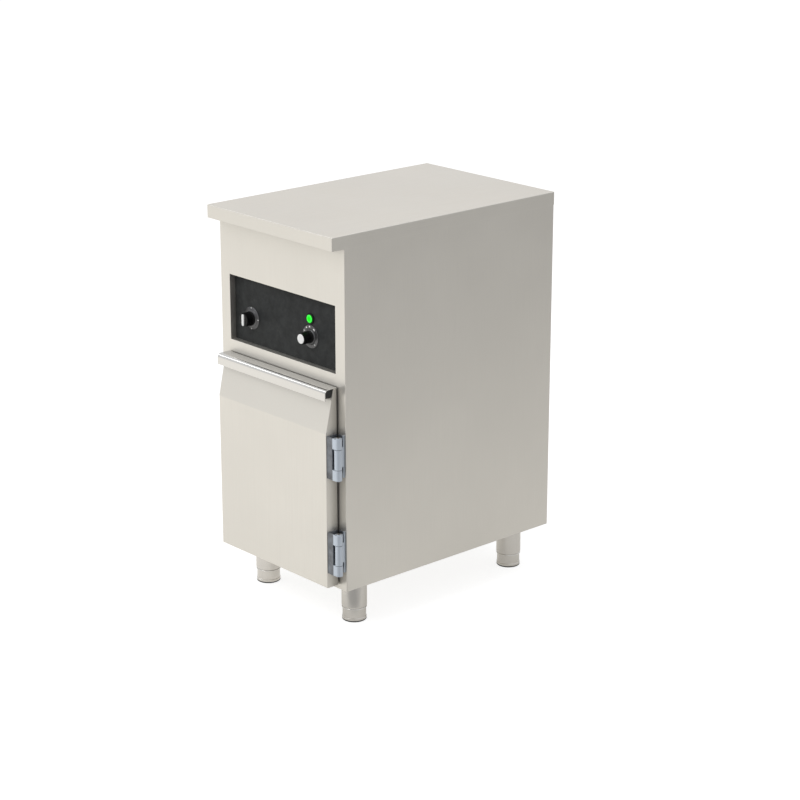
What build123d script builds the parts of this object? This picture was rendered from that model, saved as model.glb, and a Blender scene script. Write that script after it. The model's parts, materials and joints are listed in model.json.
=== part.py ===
from build123d import *
import math
import os

os.makedirs("parts", exist_ok=True)

# Heated cupboard with a plain worktop, 400 mm wide and 850 mm high.
# All sizes are millimetres. X runs to the right, Y to the back, Z up from the floor.
# The origin is on the floor under the middle of the worktop.

# Overall sizes
WIDTH = 400.0
BODY_DEPTH = 588.0
FRONT_OVERHANG = 32.0
BACK_OVERHANG = 2.0
TOTAL_HEIGHT = 850.0
LEG_HEIGHT = 95.0
TOP_THICKNESS = 28.0

# Sheet metal and insulation
SKIN = 1.0
FRAME_SHEET = 1.5
TOP_SHEET = 1.5
BASE_SHEET = 1.5
LINER = 1.2
WALL = 30.0
REAR_WALL = 32.0
FLOOR_WALL = 32.0
CHANNEL_INNER = 88.0
CHANNEL_OUTER = 137.0
SLAB_CLEARANCE = 2.0
EDGE_RADIUS = 1.2
FLANGE = 15.0

# Heated chamber and its way in
CHAMBER_CEILING = 512.0
OPENING_HALF_WIDTH = 166.0
OPENING_BOTTOM = 130.0
OPENING_TOP = 508.0
OPENING_RETURN = 10.0
CONTROL_FLOOR = 540.0
SHELF_HOLE = 6.0

# Recess in the fascia for the controls
RECESS_WIDTH = 341.0
RECESS_BOTTOM = 559.0
RECESS_TOP = 701.0
RECESS_DEPTH = 14.0
PANEL_THICKNESS = 2.0

# Door
DOOR_HALF_WIDTH = 175.5
DOOR_BOTTOM = 104.5
DOOR_BEND = 439.0
DOOR_TOP = 530.5
DOOR_FACE = 31.5
DOOR_TOP_FACE = 11.4
DOOR_BACK = 3.0
DOOR_SKIN = 1.2
DOOR_EDGE_RADIUS = 0.9
INNER_DEPTH = 7.0
INNER_RIM = 22.0

# Door seal
GASKET_WIDTH = 8.0
GASKET_OUTER_X = 175.0
GASKET_LOW = 119.0
GASKET_HIGH = 518.0
GASKET_LIP = 0.2
GASKET_GROOVE = 4.0
GASKET_ROOT_INSET = 2.0

# Handle, one folded strip along the top of the door
HANDLE_TOP = 532.5
HANDLE_LIP = 509.2
HANDLE_REACH = 33.5
HANDLE_BACK = 2.5
HANDLE_RADIUS = 9.0
HANDLE_SHEET = 1.5
HANDLE_HEM = 3.0

# Door hinges
HINGE_X = 201.5
HINGE_Y = 22.0
KNUCKLE_RADIUS = 8.0
PIN_RADIUS = 3.0
PIN_CLEARANCE = 0.05
PIN_HEAD_RADIUS = 4.6
PIN_HEAD = 1.6
HINGE_HEIGHT = 89.5
HINGE_BOTTOMS = (138.0, 345.3)
MIDDLE_KNUCKLE = 42.6
KNUCKLE_GAP = 1.0
WASHER_THICKNESS = 0.8
WASHER_RADIUS = 7.2
DOOR_LEAF_SIDE = 2.5
DOOR_LEAF_FACE = 3.0
DOOR_LEAF_RIB = 3.0
DOOR_LEAF_RIB_INSET = 6.0
DOOR_LEAF_BACK = 5.0
DOOR_LEAF_SLOT = 9.2
FRAME_LEAF = 3.7
FRAME_LEAF_START = 181.0
FRAME_LEAF_EDGE = 196.3
HINGE_SCREW_RADIUS = 2.0
HINGE_SCREW_Y = 9.5
HINGE_SCREW_END = 12.0

# Legs and adjustable feet
LEG_X = 144.0
LEG_FRONT = 68.0
LEG_BACK = 64.0
LEG_RADIUS = 27.0
LEG_WALL = 1.6
LEG_BOTTOM = 30.0
LEG_CHAMFER = 3.0
LEG_CHAMFER_DEPTH = 1.2
LEG_CAP = 4.0
FOOT_GAP = 0.4
FOOT_WALL = 2.0
FOOT_FLOOR = 3.0
FOOT_FLARE = 0.9
PAD_THICKNESS = 3.0
PAD_EDGE = 1.0
FLARE_TOP = 8.0
FLARE_EDGE = 0.8
STOP_GAP = 0.5
SPINDLE_RADIUS = 6.0
SPINDLE_BOTTOM = 40.0
FOOT_NUT = 12.0
LEG_PLATE = 70.0
LEG_PLATE_THICKNESS = 3.0
LEG_BOLT_RADIUS = 5.0
LEG_BOLT_HEAD = 6.0

# Pan runners and wire shelves
RUNNER_LEVELS = (190.0, 250.0, 310.0, 370.0, 430.0)
RUNNER_LEDGE = 14.0
RUNNER_DROP = 16.0
RUNNER_FRONT_GAP = 10.0
SHELF_LEVELS = (190.0, 310.0)
SHELF_WIDTH = 325.0
SHELF_DEPTH = 530.0
SHELF_ROD = 3.0
SHELF_WIRE = 1.5
SHELF_CORNER = 14.0
SHELF_WIRES = 17
WELD_SINK = 0.6

# Heating element on the chamber floor
ELEMENT_RADIUS = 4.25
ELEMENT_BEND = 35.0
ELEMENT_HEIGHT = 142.0
ELEMENT_END = 289.0
ELEMENT_REAR_TURN = 215.0
ELEMENT_FRONT_TURN = -195.0
ELEMENT_NUT = 5.0
NUT_ACROSS = 17.0
SADDLE_PLACES = (-150.0, 0.0, 150.0)
SADDLE_WIDTH = 12.0
DEFLECTOR_HALF_WIDTH = 150.0
DEFLECTOR_TOP = 166.0
DEFLECTOR_FRONT_GAP = 20.0
DEFLECTOR_REAR_GAP = 12.0
DEFLECTOR_ROWS = 6
DEFLECTOR_COLUMNS = (-92.0, 0.0, 92.0)
DEFLECTOR_SLOT = (60.0, 10.0)

# Controls
SELECTOR_X = -115.5
SELECTOR_Z = 613.3
THERMOSTAT_X = 76.5
THERMOSTAT_Z = 614.6
LAMP_Z = 652.5
SCALE_RADIUS = 24.3
SCALE_TOP_RADIUS = 21.5
SCALE_THICKNESS = 4.0
SELECTOR_KNOB_RADIUS = 15.5
SELECTOR_KNOB_DEPTH = 19.0
POINTER_LENGTH = 25.0
POINTER_WIDTH = 7.0
POINTER_DEPTH = 2.0
POINTER_EDGE = 0.5
THERMOSTAT_KNOB_RADIUS = 13.5
THERMOSTAT_KNOB_DEPTH = 21.8
CAP_RADIUS = 10.0
CAP_DEPTH = 1.1
CAP_EDGE = 0.8
KNOB_GAP = 0.5
KNOB_TAPER = 1.2
KNOB_EDGE = 1.0
SHAFT_RADIUS = 3.0
SHAFT_IN_KNOB = 12.0
SHAFT_IN_HOUSING = 12.0
NECK_RADIUS = 5.0
SWITCH_HALF_SIZE = 24.0
SWITCH_DEPTH = 46.0
THERMOSTAT_HALF_WIDTH = 18.0
THERMOSTAT_HALF_HEIGHT = 20.0
THERMOSTAT_DEPTH = 34.0
LAMP_NECK_RADIUS = 7.0
LAMP_DEPTH = 18.0
SHAFT_FIT = 0.05
LAMP_RADIUS = 9.6
LAMP_RIM_RADIUS = 11.6
LAMP_RIM = 2.0
LAMP_SEAT = 0.5
LAMP_DOME = 3.0

# Vents of the control space, in the back panel
VENT_COLUMNS = (-75.0, 75.0)
VENT_ROWS = 8
VENT_PITCH = 12.0
VENT_LOW = 640.0
VENT_LENGTH = 44.0
VENT_WIDTH = 4.0

# Pieces on the floor of the control space
TERMINAL_LEFT = -70.0
TERMINAL_REAR = 260.0
TERMINAL_DEPTH = 24.0
TERMINAL_HEIGHT = 20.0
TERMINAL_COUNT = 6
TERMINAL_PITCH = 12.8
TERMINAL_WELL = 3.0
TERMINAL_WELL_DEPTH = 8.0
TERMINAL_FRONT_ROW = TERMINAL_REAR - 18.0
TERMINAL_REAR_ROW = TERMINAL_REAR - 6.0
CUTOUT_X = 110.0
CUTOUT_Y = -5.0
CUTOUT_PLATE = (40.0, 30.0)
CUTOUT_CAN = (9.0, 7.5)
CUTOUT_HEAD = (12.0, 8.0)

# Supply cable entry under the rear of the cabinet
GLAND_X = -120.0
GLAND_BORE = 4.5
GLAND_THREAD = 10.0
GLAND_HEX = 24.0
GLAND_DROP = 20.0
GLAND_DOME = 8.0
GLAND_DOME_EDGE = 3.0
GLAND_THREAD_LENGTH = 12.0
GLAND_NUT = 6.0

# Wires and the sensor's capillary
WIRE_RADIUS = 1.5
WIRE_BENDS = (12.0, 20.0, 20.0, 12.0)
LEAD_BENDS = (6.0, 20.0, 20.0, 10.0, 12.0)
LEAD_X = 3 * ELEMENT_BEND
LEAD_RISE = 45.0
LEAD_SWING = 8.0
WIRE_LANE = 5.0
WIRE_REACH = 30.0
WIRE_SPREAD = 8.0
CAPILLARY_RADIUS = 1.2
CAPILLARY_BENDS = (6.0, 6.0, 12.0, 30.0, 20.0, 12.0)
CAPILLARY_X = 113.0
BULB_RADIUS = 4.0
BULB_X = 35.0
BULB_LENGTH = 80.0
BULB_Z = 480.0

# Derived places
FRONT = -(FRONT_OVERHANG + BODY_DEPTH + BACK_OVERHANG) / 2 + FRONT_OVERHANG
BACK = FRONT + BODY_DEPTH
TOP_FRONT = FRONT - FRONT_OVERHANG
TOP_BACK = BACK + BACK_OVERHANG
SIDE = WIDTH / 2
CARCASS_TOP = TOTAL_HEIGHT - TOP_THICKNESS
FRAME_BACK = FRONT + FRAME_SHEET
CHAMBER_SIDE = SIDE - WALL
CHAMBER_BACK = BACK - REAR_WALL
CHAMBER_FLOOR = LEG_HEIGHT + FLOOR_WALL
CHANNEL_Y = (CHAMBER_BACK + LINER + BACK - SKIN) / 2
PANEL_FACE = FRONT + RECESS_DEPTH
PANEL_BACK = PANEL_FACE + PANEL_THICKNESS
DOOR_REAR = FRONT - DOOR_BACK
FOOT_RADIUS = LEG_RADIUS - LEG_WALL - FOOT_GAP
LEG_PLACES = {
    "front_left": (-LEG_X, FRONT + LEG_FRONT),
    "front_right": (LEG_X, FRONT + LEG_FRONT),
    "rear_left": (-LEG_X, BACK - LEG_BACK),
    "rear_right": (LEG_X, BACK - LEG_BACK),
}


# Helpers

def block(x0, x1, y0, y1, z0, z1):
    """A box between two corners."""
    size = (x1 - x0, y1 - y0, z1 - z0)
    middle = ((x0 + x1) / 2, (y0 + y1) / 2, (z0 + z1) / 2)
    return Pos(*middle) * Box(*size)


def rod_z(x, y, z0, z1, radius):
    """A round bar along Z."""
    return Pos(x, y, (z0 + z1) / 2) * Cylinder(radius, z1 - z0)


def rod_y(x, z, y0, y1, radius):
    """A round bar along Y."""
    return Pos(x, (y0 + y1) / 2, z) * Rot(90, 0, 0) * Cylinder(radius, y1 - y0)


def rod_x(y, z, x0, x1, radius):
    """A round bar along X."""
    return Pos((x0 + x1) / 2, y, z) * Rot(0, 90, 0) * Cylinder(radius, x1 - x0)


def cone_y(x, z, y0, y1, radius_0, radius_1):
    """A tapered disc along Y, radius_0 at y0 and radius_1 at y1."""
    taper = Cone(radius_1, radius_0, y1 - y0)
    return Pos(x, (y0 + y1) / 2, z) * Rot(90, 0, 0) * taper


def hex_z(x, y, z0, z1, across):
    """A hexagonal bar along Z, given across its flats."""
    face = RegularPolygon(across / 2, 6, major_radius=False)
    return Pos(x, y, z0) * extrude(face, amount=z1 - z0, dir=(0, 0, 1))


def hex_y(x, z, y0, y1, across):
    """A hexagonal bar along Y, given across its flats."""
    bar = extrude(RegularPolygon(across / 2, 6, major_radius=False), amount=y1 - y0)
    return Pos(x, y1, z) * Rot(90, 0, 0) * bar


def tube_along(points, bends, radius):
    """A round bar along straight runs joined by tangent arcs."""
    path = FilletPolyline(*points, radius=list(bends))
    start = Vector(*points[0])
    heading = Vector(*points[1]) - start
    section = Plane(origin=start, z_dir=heading) * Circle(radius)
    return sweep(section, path=path)


def side_profile(points, x0, x1):
    """A YZ outline, stretched along X."""
    outline = make_face(Polyline(*[(0, y, z) for y, z in points], close=True))
    return Pos(x0, 0, 0) * extrude(outline, amount=x1 - x0, dir=(1, 0, 0))


def plan_profile(points, z0, z1):
    """An XY outline, stretched along Z."""
    outline = make_face(Polyline(*[(x, y, z0) for x, y in points], close=True))
    return extrude(outline, amount=z1 - z0, dir=(0, 0, 1))


def outer_edges(shape, axis):
    """The edges along one axis that lie on the shape's own corners."""
    box = shape.bounding_box()
    near = 0.01
    found = []
    for edge in shape.edges().filter_by(axis):
        spot = edge.center()
        at_side = min(abs(spot.X - box.min.X), abs(spot.X - box.max.X)) < near
        at_face = min(abs(spot.Y - box.min.Y), abs(spot.Y - box.max.Y)) < near
        at_level = min(abs(spot.Z - box.min.Z), abs(spot.Z - box.max.Z)) < near
        if at_side + at_face + at_level >= 2:
            found.append(edge)
    return found


def save(name, shapes):
    """Write one node, made of one solid or of a group of separate solids."""
    group = shapes if isinstance(shapes, list) else [shapes]
    solids = [solid for shape in group for solid in shape.solids()]
    whole = solids[0] if len(solids) == 1 else Compound(children=solids)
    export_step(whole, os.path.join("parts", name + ".step"))


# Worktop and cabinet skins

def worktop():
    """Folded steel tray with an inward lip along its lower edge."""
    outer = block(-SIDE, SIDE, TOP_FRONT, TOP_BACK, CARCASS_TOP, TOTAL_HEIGHT)
    outer = fillet(outer_edges(outer, Axis.Z), EDGE_RADIUS)
    outer = fillet(outer.faces().sort_by(Axis.Z)[-1].edges(), EDGE_RADIUS)
    inside = SIDE - TOP_SHEET
    core_low = CARCASS_TOP + TOP_SHEET
    core_high = TOTAL_HEIGHT - TOP_SHEET
    hollow = block(-inside, inside, TOP_FRONT + TOP_SHEET, TOP_BACK - TOP_SHEET, core_low, core_high)
    lip = FRONT_OVERHANG + FLANGE
    mouth_x = SIDE - FLANGE
    mouth = block(-mouth_x, mouth_x, TOP_FRONT + lip, TOP_BACK - FLANGE, CARCASS_TOP, core_low)
    return outer - hollow - mouth


def worktop_core():
    """Board that fills the tray."""
    inside = SIDE - TOP_SHEET
    low = CARCASS_TOP + TOP_SHEET
    high = TOTAL_HEIGHT - TOP_SHEET
    return block(-inside, inside, TOP_FRONT + TOP_SHEET, TOP_BACK - TOP_SHEET, low, high)


def side_panel(sign):
    """Outer side sheet with a flange under the worktop and one on the base."""
    low = LEG_HEIGHT + BASE_SHEET
    rear = BACK - SKIN
    sheet = block(SIDE - SKIN, SIDE, FRAME_BACK, BACK, LEG_HEIGHT, CARCASS_TOP)
    head = block(SIDE - FLANGE, SIDE, FRAME_BACK, rear, CARCASS_TOP - SKIN, CARCASS_TOP)
    sill = block(SIDE - FLANGE, SIDE, FRAME_BACK, rear, low, low + SKIN)
    panel = sheet + head + sill
    return panel if sign > 0 else mirror(panel, about=Plane.YZ)


def back_panel():
    """Flat rear sheet between the two sides, with vents for the control space."""
    side = SIDE - SKIN
    sheet = block(-side, side, BACK - SKIN, BACK, LEG_HEIGHT, CARCASS_TOP)
    vents = []
    for x in VENT_COLUMNS:
        for row in range(VENT_ROWS):
            slot = extrude(SlotOverall(VENT_LENGTH, VENT_WIDTH), amount=4 * SKIN)
            vents.append(Pos(x, BACK + SKIN, VENT_LOW + row * VENT_PITCH) * Rot(90, 0, 0) * slot)
    return sheet - vents


def base_panel():
    """Bottom sheet that carries the legs and the cable entry."""
    side = SIDE - SKIN
    high = LEG_HEIGHT + BASE_SHEET
    sheet = block(-side, side, FRAME_BACK, BACK - SKIN, LEG_HEIGHT, high)
    holes = [rod_z(GLAND_X, CHANNEL_Y, LEG_HEIGHT - 1, high + 1, GLAND_THREAD)]
    for x, y in LEG_PLACES.values():
        holes.append(rod_z(x, y, LEG_HEIGHT - 1, high + 1, LEG_BOLT_RADIUS))
    return sheet - holes


def front_frame():
    """Front sheet with two openings, and a folded surround welded behind each of them."""
    plate = block(-SIDE, SIDE, FRONT, FRAME_BACK, LEG_HEIGHT, CARCASS_TOP)
    corners = [edge for edge in outer_edges(plate, Axis.Z) if edge.center().Y < FRONT + SKIN / 2]
    plate = fillet(corners, EDGE_RADIUS)
    recess = (RECESS_WIDTH / 2, PANEL_FACE, RECESS_BOTTOM, RECESS_TOP)
    doorway = (OPENING_HALF_WIDTH, FRONT + OPENING_RETURN, OPENING_BOTTOM, OPENING_TOP)
    surrounds = []
    for half, rear, low, high in (recess, doorway):
        hole = block(-half, half, FRONT - 1, rear + 1, low, high)
        plate -= hole
        outer = half + FRAME_SHEET
        rim = block(-outer, outer, FRAME_BACK, rear, low - FRAME_SHEET, high + FRAME_SHEET)
        surrounds.append(rim - hole)
    return [plate, *surrounds]


# Heated chamber

def liner_side(sign):
    """Inner side sheet."""
    x0 = CHAMBER_SIDE
    high = CHAMBER_CEILING + LINER
    sheet = block(x0, x0 + LINER, FRAME_BACK, CHAMBER_BACK + LINER, CHAMBER_FLOOR - LINER, high)
    return sheet if sign > 0 else mirror(sheet, about=Plane.YZ)


def liner_back():
    """Inner back sheet with the holes of the heating element and of the capillary."""
    x = CHAMBER_SIDE
    sheet = block(-x, x, CHAMBER_BACK, CHAMBER_BACK + LINER, CHAMBER_FLOOR, CHAMBER_CEILING)
    y1 = CHAMBER_BACK + LINER
    holes = [rod_y(CAPILLARY_X, BULB_Z, CHAMBER_BACK - 1, y1 + 1, 2 * CAPILLARY_RADIUS)]
    for lead_x in (-LEAD_X, LEAD_X):
        holes.append(rod_y(lead_x, ELEMENT_HEIGHT, CHAMBER_BACK - 1, y1 + 1, ELEMENT_RADIUS))
    return sheet - holes


def liner_ceiling():
    """Inner top sheet."""
    x = CHAMBER_SIDE
    high = CHAMBER_CEILING + LINER
    return block(-x, x, FRAME_BACK, CHAMBER_BACK + LINER, CHAMBER_CEILING, high)


def liner_floor():
    """Inner bottom sheet."""
    x = CHAMBER_SIDE
    low = CHAMBER_FLOOR - LINER
    return block(-x, x, FRAME_BACK, CHAMBER_BACK + LINER, low, CHAMBER_FLOOR)


def insulation():
    """Slabs of mineral wool in the walls, with two open channels up the back."""
    base_high = LEG_HEIGHT + BASE_SHEET
    low = CHAMBER_FLOOR - LINER
    high = CHAMBER_CEILING + LINER
    front = FRONT + OPENING_RETURN + SLAB_CLEARANCE
    rear = CHAMBER_BACK + LINER
    x_in = CHAMBER_SIDE + LINER
    x_out = SIDE - SKIN
    leg_cuts = []
    half = LEG_PLATE / 2 + SLAB_CLEARANCE
    for x, y in LEG_PLACES.values():
        leg_cuts.append(block(x - half, x + half, y - half, y + half, base_high, low))
    slabs = []
    for sign in (-1, 1):
        x0, x1 = sorted((sign * x_in, sign * x_out))
        slabs.append(block(x0, x1, front, BACK - SKIN, low, CONTROL_FLOOR))
    floor_x = SIDE - FLANGE
    floor = block(-floor_x, floor_x, front, rear, base_high + SKIN, low)
    slabs.append(floor - leg_cuts)
    for x0, x1 in ((-x_in, -CHANNEL_OUTER), (-CHANNEL_INNER, CHANNEL_INNER), (CHANNEL_OUTER, x_in)):
        slabs.append(block(x0, x1, rear, BACK - SKIN, low, high))
    slabs.append(block(-x_in, x_in, front, rear, high, CONTROL_FLOOR))
    return slabs


def pan_runners():
    """Five angle runners on each side wall for pans and shelves."""
    rails = []
    y0 = FRAME_BACK + RUNNER_FRONT_GAP
    y1 = CHAMBER_BACK - RUNNER_FRONT_GAP
    x1 = CHAMBER_SIDE
    for level in RUNNER_LEVELS:
        ledge = block(x1 - RUNNER_LEDGE, x1, y0, y1, level - LINER, level)
        web = block(x1 - LINER, x1, y0, y1, level - RUNNER_DROP, level)
        rail = ledge + web
        rails.append(rail)
        rails.append(mirror(rail, about=Plane.YZ))
    return rails


def wire_shelf(level):
    """Grid shelf with a round rod frame, resting on one pair of runners."""
    x = SHELF_WIDTH / 2 - SHELF_ROD
    y = SHELF_DEPTH / 2 - SHELF_ROD
    z = level + SHELF_ROD
    loop = Pos(0, 0, z) * RectangleRounded(2 * x, 2 * y, SHELF_CORNER).face().outer_wire()
    start = loop @ 0
    section = Plane(origin=start, z_dir=loop % 0) * Circle(SHELF_ROD)
    frame = sweep(section, path=loop)
    wires = []
    wire_z = z + SHELF_ROD - WELD_SINK
    for index in range(SHELF_WIRES):
        wire_y = -y + 2 * y * (index + 1) / (SHELF_WIRES + 1)
        wires.append(rod_x(wire_y, wire_z, -x, x, SHELF_WIRE))
    bearer_z = wire_z - 2 * SHELF_WIRE + WELD_SINK
    for bearer_x in (-x / 3, x / 3):
        wires.append(rod_y(bearer_x, bearer_z, -y, y, SHELF_WIRE))
    return frame.fuse(*wires)


def heating_element():
    """Round sheathed element, bent three times over the chamber floor."""
    z = ELEMENT_HEIGHT
    bend = ELEMENT_BEND
    front = ELEMENT_FRONT_TURN
    rear = ELEMENT_REAR_TURN
    run_1 = Line((-LEAD_X, ELEMENT_END, z), (-LEAD_X, front, z))
    turn_1 = ThreePointArc((-3 * bend, front, z), (-2 * bend, front - bend, z), (-bend, front, z))
    run_2 = Line((-bend, front, z), (-bend, rear, z))
    turn_2 = ThreePointArc((-bend, rear, z), (0, rear + bend, z), (bend, rear, z))
    run_3 = Line((bend, rear, z), (bend, front, z))
    turn_3 = ThreePointArc((bend, front, z), (2 * bend, front - bend, z), (3 * bend, front, z))
    run_4 = Line((LEAD_X, front, z), (LEAD_X, ELEMENT_END, z))
    path = Wire([run_1, turn_1, run_2, turn_2, run_3, turn_3, run_4])
    section = Plane(origin=(-LEAD_X, ELEMENT_END, z), z_dir=(0, -1, 0)) * Circle(ELEMENT_RADIUS)
    return sweep(section, path=path)


def element_nuts():
    """Nuts that clamp the element's two ends in the liner's back."""
    nuts = []
    y0 = CHAMBER_BACK + LINER
    y1 = y0 + ELEMENT_NUT
    for x in (-LEAD_X, LEAD_X):
        body = hex_y(x, ELEMENT_HEIGHT, y0, y1, NUT_ACROSS)
        nuts.append(body - rod_y(x, ELEMENT_HEIGHT, y0 - 1, y1 + 1, ELEMENT_RADIUS))
    return nuts


def element_brackets():
    """Three saddles that hold the element above the chamber floor."""
    saddles = []
    z = ELEMENT_HEIGHT
    reach = 3 * ELEMENT_BEND + SADDLE_WIDTH
    half = SADDLE_WIDTH / 2
    runs = [step * ELEMENT_BEND for step in (-3, -1, 1, 3)]
    for y in SADDLE_PLACES:
        rail = block(-reach, reach, y - half, y + half, CHAMBER_FLOOR, z)
        grooves = [rod_y(x, z, y - half - 1, y + half + 1, ELEMENT_RADIUS) for x in runs]
        saddles.append(rail - grooves)
    return saddles


def heat_deflector():
    """Slotted tray upside down over the element."""
    x = DEFLECTOR_HALF_WIDTH
    y0 = FRONT + DEFLECTOR_FRONT_GAP
    y1 = CHAMBER_BACK - DEFLECTOR_REAR_GAP
    tray = block(-x, x, y0, y1, CHAMBER_FLOOR, DEFLECTOR_TOP)
    hollow = block(-x + SKIN, x - SKIN, y0 - 1, y1 + 1, CHAMBER_FLOOR - 1, DEFLECTOR_TOP - SKIN)
    slots = []
    pitch = (y1 - y0) / DEFLECTOR_ROWS
    for row in range(DEFLECTOR_ROWS):
        y = y0 + pitch * (row + 0.5)
        for slot_x in DEFLECTOR_COLUMNS:
            slot = extrude(SlotOverall(*DEFLECTOR_SLOT), amount=4 * SKIN)
            slots.append(Pos(slot_x, y, DEFLECTOR_TOP - 2 * SKIN) * slot)
    return tray - hollow - slots


# Legs and feet

def leg_tube(x, y):
    """Upper leg tube, closed by a cap under the base sheet."""
    outer = rod_z(x, y, LEG_BOTTOM, LEG_HEIGHT, LEG_RADIUS)
    outer = chamfer(outer.edges().sort_by(Axis.Z)[0], LEG_CHAMFER, LEG_CHAMFER_DEPTH)
    bore = rod_z(x, y, LEG_BOTTOM - 1, LEG_HEIGHT - LEG_CAP, LEG_RADIUS - LEG_WALL)
    stud = rod_z(x, y, LEG_HEIGHT - LEG_CAP - 1, LEG_HEIGHT + 1, LEG_BOLT_RADIUS)
    return outer - bore - stud


def leg_spindle(x, y):
    """Threaded rod hanging in the leg, with its neck through the cap and the base."""
    cap_low = LEG_HEIGHT - LEG_CAP
    bolt_top = LEG_HEIGHT + BASE_SHEET + LEG_PLATE_THICKNESS + LEG_BOLT_HEAD
    rod = rod_z(x, y, SPINDLE_BOTTOM, cap_low, SPINDLE_RADIUS)
    neck = rod_z(x, y, cap_low, bolt_top, LEG_BOLT_RADIUS)
    return rod + neck


def leg_plate(x, y):
    """Stiffening plate and nut on top of the base sheet."""
    low = LEG_HEIGHT + BASE_SHEET
    half = LEG_PLATE / 2
    high = low + LEG_PLATE_THICKNESS
    plate = block(x - half, x + half, y - half, y + half, low, high)
    nut = hex_z(x, y, high, high + LEG_BOLT_HEAD, NUT_ACROSS)
    return plate + nut - rod_z(x, y, low - 1, high + LEG_BOLT_HEAD + 1, LEG_BOLT_RADIUS)


def foot(x, y):
    """Lower tube that slides in the leg, with a nut at its top and a flared sole."""
    top = LEG_HEIGHT - LEG_CAP - STOP_GAP
    outer = rod_z(x, y, PAD_THICKNESS, top, FOOT_RADIUS)
    flare = rod_z(x, y, PAD_THICKNESS, FLARE_TOP, FOOT_RADIUS + FOOT_FLARE)
    flare = chamfer(flare.edges().sort_by(Axis.Z)[-1], FLARE_EDGE)
    floor = PAD_THICKNESS + FOOT_FLOOR
    bore = rod_z(x, y, floor, top - FOOT_NUT, FOOT_RADIUS - FOOT_WALL)
    thread = rod_z(x, y, floor, top + 1, SPINDLE_RADIUS + PIN_CLEARANCE)
    return outer + flare - bore - thread


def foot_pad(x, y):
    """Thin pad under the foot."""
    pad = rod_z(x, y, 0, PAD_THICKNESS, FOOT_RADIUS + FOOT_FLARE)
    return chamfer(pad.edges().sort_by(Axis.Z)[0], PAD_EDGE)


# Door

def door_outline(inset, rear):
    """The door's side outline, moved inwards by a sheet's thickness and ending at a rear plane."""
    face = FRONT - DOOR_FACE + inset
    slope = (DOOR_FACE - DOOR_TOP_FACE) / (DOOR_TOP - DOOR_BEND)
    lean = inset * (math.hypot(1, slope) - 1) / slope
    top_face = FRONT - DOOR_TOP_FACE + inset * math.hypot(1, slope) - inset * slope
    low = DOOR_BOTTOM + inset
    high = DOOR_TOP - inset
    return [(rear, low), (face, low), (face, DOOR_BEND - lean), (top_face, high), (rear, high)]


def door_front_panel():
    """Outer door skin, a pan folded from one sheet and open at the back."""
    pan = side_profile(door_outline(0, DOOR_REAR), -DOOR_HALF_WIDTH, DOOR_HALF_WIDTH)
    inside = DOOR_HALF_WIDTH - DOOR_SKIN
    hollow = side_profile(door_outline(DOOR_SKIN, DOOR_REAR + 1), -inside, inside)
    near = 0.01
    face_edges = [edge for edge in pan.edges() if edge.center().Y < FRONT - DOOR_FACE + near]
    pan = fillet(face_edges, DOOR_EDGE_RADIUS)
    holes = [screw for bottom in HINGE_BOTTOMS for screw in door_hinge_screws(bottom)]
    return pan - hollow - holes


def door_inner_panel():
    """Inner door sheet pressed into a shallow tray, with a groove for the seal."""
    x = DOOR_HALF_WIDTH - DOOR_SKIN
    low = DOOR_BOTTOM + DOOR_SKIN
    high = DOOR_TOP - DOOR_SKIN
    plate = block(-x, x, DOOR_REAR - INNER_DEPTH, DOOR_REAR, low, high)
    groove = seal_ring(DOOR_REAR - GASKET_GROOVE, DOOR_REAR + 1, GASKET_ROOT_INSET)
    field = block(-x + INNER_RIM, x - INNER_RIM, DOOR_REAR - INNER_DEPTH - 1, DOOR_REAR - LINER,
                  low + INNER_RIM, high - INNER_RIM)
    return plate - groove - field


def seal_ring(y0, y1, inset):
    """A rectangular ring round the door opening, narrowed on both edges by the inset."""
    x_out = GASKET_OUTER_X - inset
    x_in = GASKET_OUTER_X - GASKET_WIDTH + inset
    outer = block(-x_out, x_out, y0, y1, GASKET_LOW + inset, GASKET_HIGH - inset)
    low = GASKET_LOW + GASKET_WIDTH - inset
    high = GASKET_HIGH - GASKET_WIDTH + inset
    return outer - block(-x_in, x_in, y0 - 1, y1 + 1, low, high)


def door_gasket():
    """Rubber seal in the inner panel's groove."""
    root = seal_ring(DOOR_REAR - GASKET_GROOVE, DOOR_REAR, GASKET_ROOT_INSET)
    return root + seal_ring(DOOR_REAR, FRONT - GASKET_LIP, 0)


def door_insulation():
    """Mineral wool that fills the door."""
    inside = DOOR_HALF_WIDTH - DOOR_SKIN
    return side_profile(door_outline(DOOR_SKIN, DOOR_REAR - INNER_DEPTH), -inside, inside)


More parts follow.
